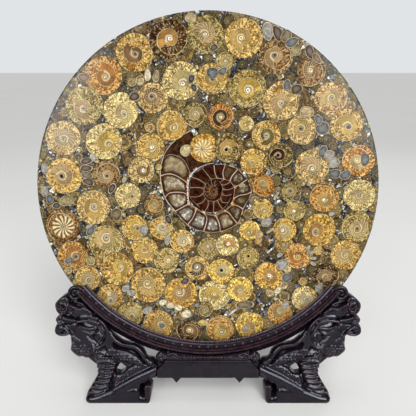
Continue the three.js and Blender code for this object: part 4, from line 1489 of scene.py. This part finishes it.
def add_dragon(name, side, shape, material, solid):
    points, faces, on_floor = shape
    world = to_world(points * (-side, 1, 1))
    world[:, 2] = np.where(on_floor, 0, np.maximum(world[:, 2], 0))
    add_lacquered(name, world, turned(faces, side), material, (solid,), DRAGON_SHARP)


# ---------- the cradle, the rail and the legs ----------

CRADLE_HALF_ANGLE = math.radians(52)
CRADLE_STEPS = 620
# Section of the cradle as (radius, h): the trough, then round the front lip with its mouldings,
# the underside and the rear lip.
CRADLE_SECTION = [
    (150.4, -18.4), (150.4, -9), (150.4, 0.4), (145, 0.4), (140.4, 0.4), (139.4, 0.8), (138.4, 2.4),
    (137, 5), (135.9, 7.2), (135.1, 8.8), (135.3, 9.6), (136.1, 10), (136.9, 10), (137.7, 9.4),
    (138.1, 8.7), (138.6, 9.1), (140.1, 9.5), (141.7, 9.7), (142.2, 9.2), (142.7, 9.8), (143.3, 10.5),
    (144, 10.6), (144.5, 10.1), (144.8, 9.3), (145.1, 10), (145.7, 10.5), (146.3, 10.2), (146.7, 9.3),
    (147.2, 9.5), (147.8, 9), (148.3, 7.4), (148.8, 5.4), (149.5, 3.9), (151.6, 3), (154.4, 2.2),
    (155, 1.6), (155, -6), (155, -14), (155, -20.5), (154.2, -22.6), (152, -23.5), (146, -23.5),
    (141, -23.5), (140.2, -22.8), (140, -21.5), (140.3, -19.4), (141, -18.4), (146, -18.4),
]
# Fine ticks: between these radii the lip's inner bead rises and falls along the cradle.
TICK_RADII = (135.9, 137.8)
TICK_SPACING = 1.75
TICK_HEIGHT = 0.45
TICK_LEVEL = 9
TICK_CREST = 0.3
STUD_RADIUS = 140.5
STUD_SPACING = 7.8
# A scroll at each end of the cradle: a round boss and a cord wound in on it.
SCROLL_MIDDLE = (117, -92)
SCROLL_POINTS = 70
SCROLL_START = math.radians(35)
SCROLL_TURNS = 1.65
SCROLL_REACH = 5.3
SCROLL_EASE = 0.8
SCROLL_HEART = 0.9
SCROLL_LEVEL = 8.2
SCROLL_RISE = 0.9
SCROLL_CORD = 1.75
SCROLL_TAPER = 0.8
# Knobs: level of the foot, radius, height, rings and sides, then petals and their height.
KNOB_FOOT = 0.4
STUD = (9.2, 1.5, 2.0, 4, 14)
SCROLL_BOSS = (0.4, 6.0, 7.6, 6, 36)
FRINGE_BEAD = (7.0, 1.1, 1.5, 4, 12)
ROSETTE_PETALS = (4.8, 5.3, 4.2, 9, 60, 6, 0.7)
ROSETTE_HEART = (8.4, 1.9, 2.3, 5, 20)


def polar(angle, radius):
    """(u, v) at an angle from straight down the face, positive to the right."""
    return radius * math.sin(angle), -radius * math.cos(angle)


def swept(sections):
    """A closed skin through equal closed rings of points, capped at its ends."""
    sides = len(sections[0])
    last = (len(sections) - 1) * sides
    faces = [
        (low + i, low + (i + 1) % sides, low + sides + (i + 1) % sides, low + sides + i)
        for low in range(0, last, sides) for i in range(sides)
    ]
    faces += [tuple(range(sides))[::-1], tuple(range(last, last + sides))]
    return np.vstack(sections), faces


def tube(path, radii, sides=14):
    """A round cord along rows of (u, v, h)."""
    path = np.asarray(path, float)
    ways = np.gradient(path, axis=0)
    ways /= np.linalg.norm(ways, axis=1)[:, None]
    across = np.cross(ways, (0, 0, 1))
    across /= np.linalg.norm(across, axis=1)[:, None]
    over = np.cross(across, ways)
    turns = around(sides)
    rings = [
        place + radius * (np.cos(turns)[:, None] * a + np.sin(turns)[:, None] * o)
        for place, radius, a, o in zip(path, radii, across, over)
    ]
    return swept(rings)


def knob(u, v, low, radius, height, rings, sides, petals=0, petal_height=0):
    """A dome on the face, with petals if asked for, on a short foot."""
    turns = around(sides)
    levels = [(1, 0, 0), (1, KNOB_FOOT, 0)]
    for angle in np.linspace(0, math.pi / 2, rings, endpoint=False)[1:]:
        rise = KNOB_FOOT + (1 - KNOB_FOOT) * math.sin(angle)
        levels.append((math.cos(angle), rise, math.sin(2 * angle)))
    sections = []
    for share, rise, swell in levels:
        out, lift = radius * share, height * rise + petal_height * swell * np.cos(petals * turns)
        sections.append(np.c_[u + out * np.cos(turns), v + out * np.sin(turns), low + lift])
    return swept(sections)


def slab_with_edges(outline, low, high, roll, steps=3):
    """A slab between two levels, its outline rounded over at both faces. Rows are (a, b, level)."""
    loop = np.asarray(outline, float)
    way = np.roll(loop, -1, axis=0) - np.roll(loop, 1, axis=0)
    way /= np.maximum(np.hypot(*way.T), 1e-9)[:, None]
    area = np.sum(loop[:, 0] * np.roll(loop[:, 1], -1) - np.roll(loop[:, 0], -1) * loop[:, 1])
    outwards = np.c_[way[:, 1], -way[:, 0]] * (1 if area > 0 else -1)
    if area < 0:
        loop, outwards = loop[::-1], outwards[::-1]
    sections = []
    for end, sign in ((low, 1), (high, -1)):
        for angle in np.linspace(0, math.pi / 2, steps + 1)[::sign]:
            ring = loop - outwards * roll * (1 - math.sin(angle))
            level = end + sign * roll * (1 - math.cos(angle))
            sections.append(np.c_[ring, np.full(len(ring), level)])
    return swept(sections)


def straight(points, step=1.5):
    """A closed polygon with extra points along its sides."""
    rows = []
    for start, end in zip(points, (*points[1:], points[0])):
        start, end = np.array(start, float), np.array(end, float)
        count = max(1, int(math.dist(start, end) / step))
        rows += [start + (end - start) * i / count for i in range(count)]
    return np.array(rows)


def add_cradle(material):
    pile = Pile()
    sections = []
    for angle in np.linspace(-CRADLE_HALF_ANGLE, CRADLE_HALF_ANGLE, CRADLE_STEPS):
        ring = []
        for radius, h in CRADLE_SECTION:
            if TICK_RADII[0] < radius < TICK_RADII[1] and h > TICK_LEVEL:
                wave = math.cos(2 * math.pi * angle * radius / TICK_SPACING)
                h = h + TICK_HEIGHT * min(wave, TICK_CREST)
            ring.append((*polar(angle, radius), h))
        sections.append(ring)
    pile.add(*swept(sections))
    step = STUD_SPACING / STUD_RADIUS
    studs = int(CRADLE_HALF_ANGLE / step)
    for i in range(-studs, studs + 1):
        pile.add(*knob(*polar(i * step, STUD_RADIUS), *STUD))
    turns = np.linspace(0, 1, SCROLL_POINTS)
    spin = SCROLL_START + 2 * math.pi * SCROLL_TURNS * turns
    radii = SCROLL_REACH * (1 - turns) ** SCROLL_EASE + SCROLL_HEART
    for side in (-1, 1):
        u, v = side * SCROLL_MIDDLE[0], SCROLL_MIDDLE[1]
        pile.add(*knob(u, v, *SCROLL_BOSS))
        level = SCROLL_LEVEL + SCROLL_RISE * turns
        cord = np.c_[u - side * radii * np.cos(spin), v + radii * np.sin(spin), level]
        pile.add(*tube(cord, SCROLL_CORD - SCROLL_TAPER * turns))
    add_lacquered("carved_cradle", to_world(pile.points), pile.faces, material, ("cradle_arc",))


RAIL_FACE = [
    (-46, -162.5), (-43, -160), (-37.5, -153.6), (37.5, -153.6), (43, -160), (46, -162.5), (46, -170),
    (-46, -170),
]
RAIL_LEDGE = [(-46, -152.6), (46, -152.6), (46, -163), (-46, -163)]
RAIL_INSET = 0.1
RAIL_ROLL = 0.7
LEDGE_TOP = 6.6
LEDGE_ROLL = 0.6
# The fringe under the plate's rim: a thin strip, with arches of cord and beads before it.
FRINGE_HALF_LENGTH = 37
FRINGE_RADIUS = 150.2
FRINGE_FOOT = -154
FRINGE_LEVELS = (4.6, 7.4)
FRINGE_ROLL = 0.3
FRINGE_POINTS = 75
FRINGE_PITCH = 9.2
ARCH_POINTS = 14
ARCH_HALF = 4.0
ARCH_FOOT = -152.6
ARCH_RISE = 1.9
ARCH_LEVEL = 7.6
ARCH_CORD = 0.62
BEAD_V = -152.0
ROSETTE = (42, -152)
TENDRIL = [(36, -149.6, 7.0), (33, -147.8, 7.2), (29, -149.2, 7.0), (26, -151.4, 6.8)]
TENDRIL_RADII = (1.0, 1.3, 1.2, 0.8)
PENDANT = [(33.5, -169.4), (23.5, -169.4), (28.5, -175.2)]
PENDANT_LEVELS = (2, 8.8)
PENDANT_ROLL = 0.5


def add_front_rail(material):
    pile = Pile()
    back = FRAME_BACK + RAIL_INSET
    pile.add(*slab_with_edges(straight(RAIL_FACE), back, FRAME_FRONT, RAIL_ROLL))
    pile.add(*slab_with_edges(straight(RAIL_LEDGE), FRAME_BACK, LEDGE_TOP, LEDGE_ROLL))
    across = np.linspace(-FRINGE_HALF_LENGTH, FRINGE_HALF_LENGTH, FRINGE_POINTS)
    top = np.c_[across, -np.sqrt(FRINGE_RADIUS ** 2 - across ** 2)]
    fringe = [*top, (FRINGE_HALF_LENGTH, FRINGE_FOOT), (-FRINGE_HALF_LENGTH, FRINGE_FOOT)]
    pile.add(*slab_with_edges(fringe, *FRINGE_LEVELS, FRINGE_ROLL, 2))
    turns = np.linspace(0, math.pi, ARCH_POINTS)
    x, v = ARCH_HALF * np.cos(turns), ARCH_FOOT + ARCH_RISE * np.sin(turns)
    arches = int(FRINGE_HALF_LENGTH / FRINGE_PITCH)
    for i in range(-arches, arches + 1):
        middle = i * FRINGE_PITCH
        path = np.c_[middle + x, v, np.full(ARCH_POINTS, ARCH_LEVEL)]
        pile.add(*tube(path, np.full(ARCH_POINTS, ARCH_CORD), 8))
        pile.add(*knob(middle, BEAD_V, *FRINGE_BEAD))
    for side in (-1, 1):
        for shape in (ROSETTE_PETALS, ROSETTE_HEART):
            pile.add(*knob(side * ROSETTE[0], ROSETTE[1], *shape))
        pile.add(*tube([(side * u, v, h) for u, v, h in TENDRIL], TENDRIL_RADII, 10))
        drop = straight([(side * u, v) for u, v in PENDANT])
        pile.add(*slab_with_edges(drop, *PENDANT_LEVELS, PENDANT_ROLL))
    add_lacquered("carved_front_rail", to_world(pile.points), pile.faces, material, ("front_rail",))


# A rear leg from the side as (y, z), y being counted from the middle of the face: its carved
# back and its arched underside. Then its front edge as (h, v), with a notch for the cradle.
LEG_BACK = [
    (17.8, 121.9), (14.5, 90), (11.5, 64), (15, 49), (25, 36), (41, 24), (59, 15), (75, 8),
    (79.6, 3), (80, 0),
]
LEG_UNDER = [(61, 0), (53, 6), (38, 12.5), (20, 17.5), (0, 20)]
LEG_FRONT = [
    (-4.3, -168), (-4.3, -157), (-24.6, -153.8), (-24.6, -132.4), (-18.5, -131), (-18.5, -60),
    (-20, -56), (-24, -54),
]
LEG_SIDES = (30, 42)
LEG_ROLL = 1.4
LEG_STEP = 2.0
LEG_BACK_POINTS = 110
LEG_UNDER_POINTS = 44


def leg_curve():
    """The leg's outline as (y, z), rounded where it is carved and straight where it fits."""
    h, v = np.array(LEG_FRONT, float).T
    front = np.c_[-h * math.cos(LEAN) + v * math.sin(LEAN), h * math.sin(LEAN) + v * math.cos(LEAN)]
    front += (0, CENTRE_RISE)
    fitted = straight(front.tolist(), LEG_STEP)
    last = np.argmin(np.hypot(*(fitted - front[-1]).T))
    back, under = resampled(LEG_BACK, LEG_BACK_POINTS), resampled(LEG_UNDER, LEG_UNDER_POINTS)
    return np.vstack([back, under, fitted[:last + 1]])


def add_rear_leg(name, side, material, solid):
    points, faces = slab_with_edges(leg_curve(), *LEG_SIDES, LEG_ROLL, 4)
    y, z, x = points.T
    world = np.c_[x * side, y + CENTRE_BACK, np.maximum(z, 0)] * MM
    add_lacquered(name, world, turned(faces, side), material, (solid,))


# The cross rail: y and z of its middle line, radius, and its outline as (distance from the
# end, share of the radius).
CROSS_RAIL = (26, 22, 4.9)
CROSS_RAIL_REACH = 29.7
CROSS_RAIL_SIDES = 40
CROSS_RAIL_SHAPE = [
    (0, 1), (1.5, 1), (2, 0.86), (3, 0.86), (3.6, 1), (5, 1), (6, 0.84), (7, 0.80), (14, 0.9),
    (22, 0.97), (CROSS_RAIL_REACH, 1),
]


def add_cross_rail(material):
    """A turned bar between the rear legs, with beads at its ends."""
    y, z, radius = CROSS_RAIL
    shape = [(x - CROSS_RAIL_REACH, radius * share) for x, share in CROSS_RAIL_SHAPE]
    shape += [(-x, r) for x, r in shape[-2::-1]]
    turns = around(CROSS_RAIL_SIDES)
    sections = [
        np.c_[np.full(CROSS_RAIL_SIDES, x), y + CENTRE_BACK + r * np.cos(turns), z + r * np.sin(turns)]
        for x, r in shape
    ]
    points, faces = swept(sections)
    add_lacquered("turned_cross_rail", points * MM, faces, material, ("rear_cross_rail",))


SIDES = {"left": -1, "right": 1}


def add_stand():
    lacquer = lacquer_material()
    add_cradle(lacquer)
    dragon = dragon_shape()
    for name, side in SIDES.items():
        add_dragon(f"carved_dragon_{name}", side, dragon, lacquer, f"dragon_{name}")
    add_front_rail(lacquer)
    for name, side in SIDES.items():
        add_rear_leg(f"rear_leg_carved_{name}", side, lacquer, f"rear_leg_{name}")
    add_cross_rail(lacquer)


# ---------- build ----------

fossil = fossil_material()
add_slab()
add_buried_ammonites(fossil)
add_ammonites(fossil)
add_centre(centre_material())
add_fragments(fragment_material())
add_stand()

# ---------- stage ----------


FLOOR_REACH = 9
FLOOR_GRAIN = 400


def add_stage():
    corners = [(x * FLOOR_REACH, y * FLOOR_REACH, 0) for x, y in ((-1, -1), (1, -1), (1, 1), (-1, 1))]
    mesh = bpy.data.meshes.new("stage_floor")
    mesh.from_pydata(corners, [], [(0, 1, 2, 3)])
    g = Graph("stage_floor")
    grain = g.noise(g.place(), FLOOR_GRAIN, detail=2.0)
    colour = g.shaded(rgb(228, 227, 224), grain, 0.3, 0.7, 0.98, 1.0)
    mesh.materials.append(g.finish(colour, 0.6, Specular_IOR_Level=0.0))
    shown("stage_floor", mesh)


SUN_PLACE = (0.30, -0.75, 0.85)
SUN_STRENGTH = 1.62
SUN_SPREAD = math.radians(38)
LIGHT_SPREAD = math.radians(100)
WARM_WHITE = (1.0, 0.99, 0.96)
COOL_WHITE = (0.95, 0.98, 1.0)
SKY = (0.90, 0.95, 1.0)
# Each area light: its place, width and height, power, colour, and whether only gloss shows it.
AREA_LIGHTS = {
    "window_right": ((0.62, -1.25, 0.72), (0.34, 0.5), 1.4, WARM_WHITE, False),
    "window_left": ((-0.62, -1.25, 0.72), (0.34, 0.5), 1.15, COOL_WHITE, False),
    "top": ((0.0, 0.3, 1.3), (1.0, 0.6), 0.9, (1, 1, 1), False),
    "back": ((0.5, 1.3, 0.9), (1.2, 0.8), 1.3, (1, 1, 1), False),
    "sheen_left": ((-0.85, -1.2, 0.95), (0.9, 0.9), 5.4, SKY, True),
    "sheen_right": ((0.95, -1.1, 0.95), (0.8, 0.9), 6.2, SKY, True),
}


def add_lamp(name, kind, power, way):
    """A lamp that shines along the way."""
    lamp = bpy.data.lights.new(name, kind)
    lamp.energy = power
    light = shown(name, lamp)
    light.rotation_euler = way.to_track_quat("-Z", "Y").to_euler()
    return light


def add_lights():
    sun = add_lamp("daylight", "SUN", SUN_STRENGTH, -Vector(SUN_PLACE))
    sun.data.angle = SUN_SPREAD
    for name, (place, size, power, colour, gloss_only) in AREA_LIGHTS.items():
        light = add_lamp(name, "AREA", power, Vector(FACE_MIDDLE) - Vector(place))
        light.location = place
        light.visible_diffuse = not gloss_only
        light.data.shape = "RECTANGLE"
        light.data.size, light.data.size_y = size
        light.data.spread = LIGHT_SPREAD
        light.data.color = colour


CAMERA_BACK = 369.13
CAMERA_RISE = 108.55
CAMERA_PITCH = math.radians(18.9)
FOCAL_LENGTH = 38
SENSOR = 36


def add_camera():
    camera = bpy.data.cameras.new("camera")
    camera.lens = FOCAL_LENGTH
    camera.sensor_width = SENSOR
    holder = shown("camera", camera)
    holder.location = FACE_MIDDLE + MM * np.array([0, -CAMERA_BACK, CAMERA_RISE])
    holder.rotation_euler = (math.pi / 2 - CAMERA_PITCH, 0, 0)
    bpy.context.scene.camera = holder


WORLD_TONE = (0.94, 0.97, 1.0, 1)
WORLD_STRENGTH = 0.40
STRENGTH_SEEN = 0.80
STRENGTH_IN_GLOSS = 0.06


def add_world():
    """Pale all round to the eye, and dimmer as a light, so that the lamps shape the gloss."""
    world = bpy.data.worlds.new("studio")
    world.use_nodes = True
    nodes, links = world.node_tree.nodes, world.node_tree.links
    background = nodes["Background"]
    background.inputs["Color"].default_value = WORLD_TONE
    rays = nodes.new("ShaderNodeLightPath").outputs
    strength = background.inputs["Strength"]
    for kind, level in (("Is Camera Ray", STRENGTH_SEEN), ("Is Glossy Ray", STRENGTH_IN_GLOSS)):
        choice = nodes.new("ShaderNodeMix")
        links.new(rays[kind], choice.inputs[0])
        choice.inputs[3].default_value = level
        links.new(choice.outputs[0], strength)
        strength = choice.inputs[2]
    strength.default_value = WORLD_STRENGTH
    bpy.context.scene.world = world


add_stage()
add_world()
add_lights()
add_camera()
bpy.context.scene.view_settings.view_transform = "Standard"
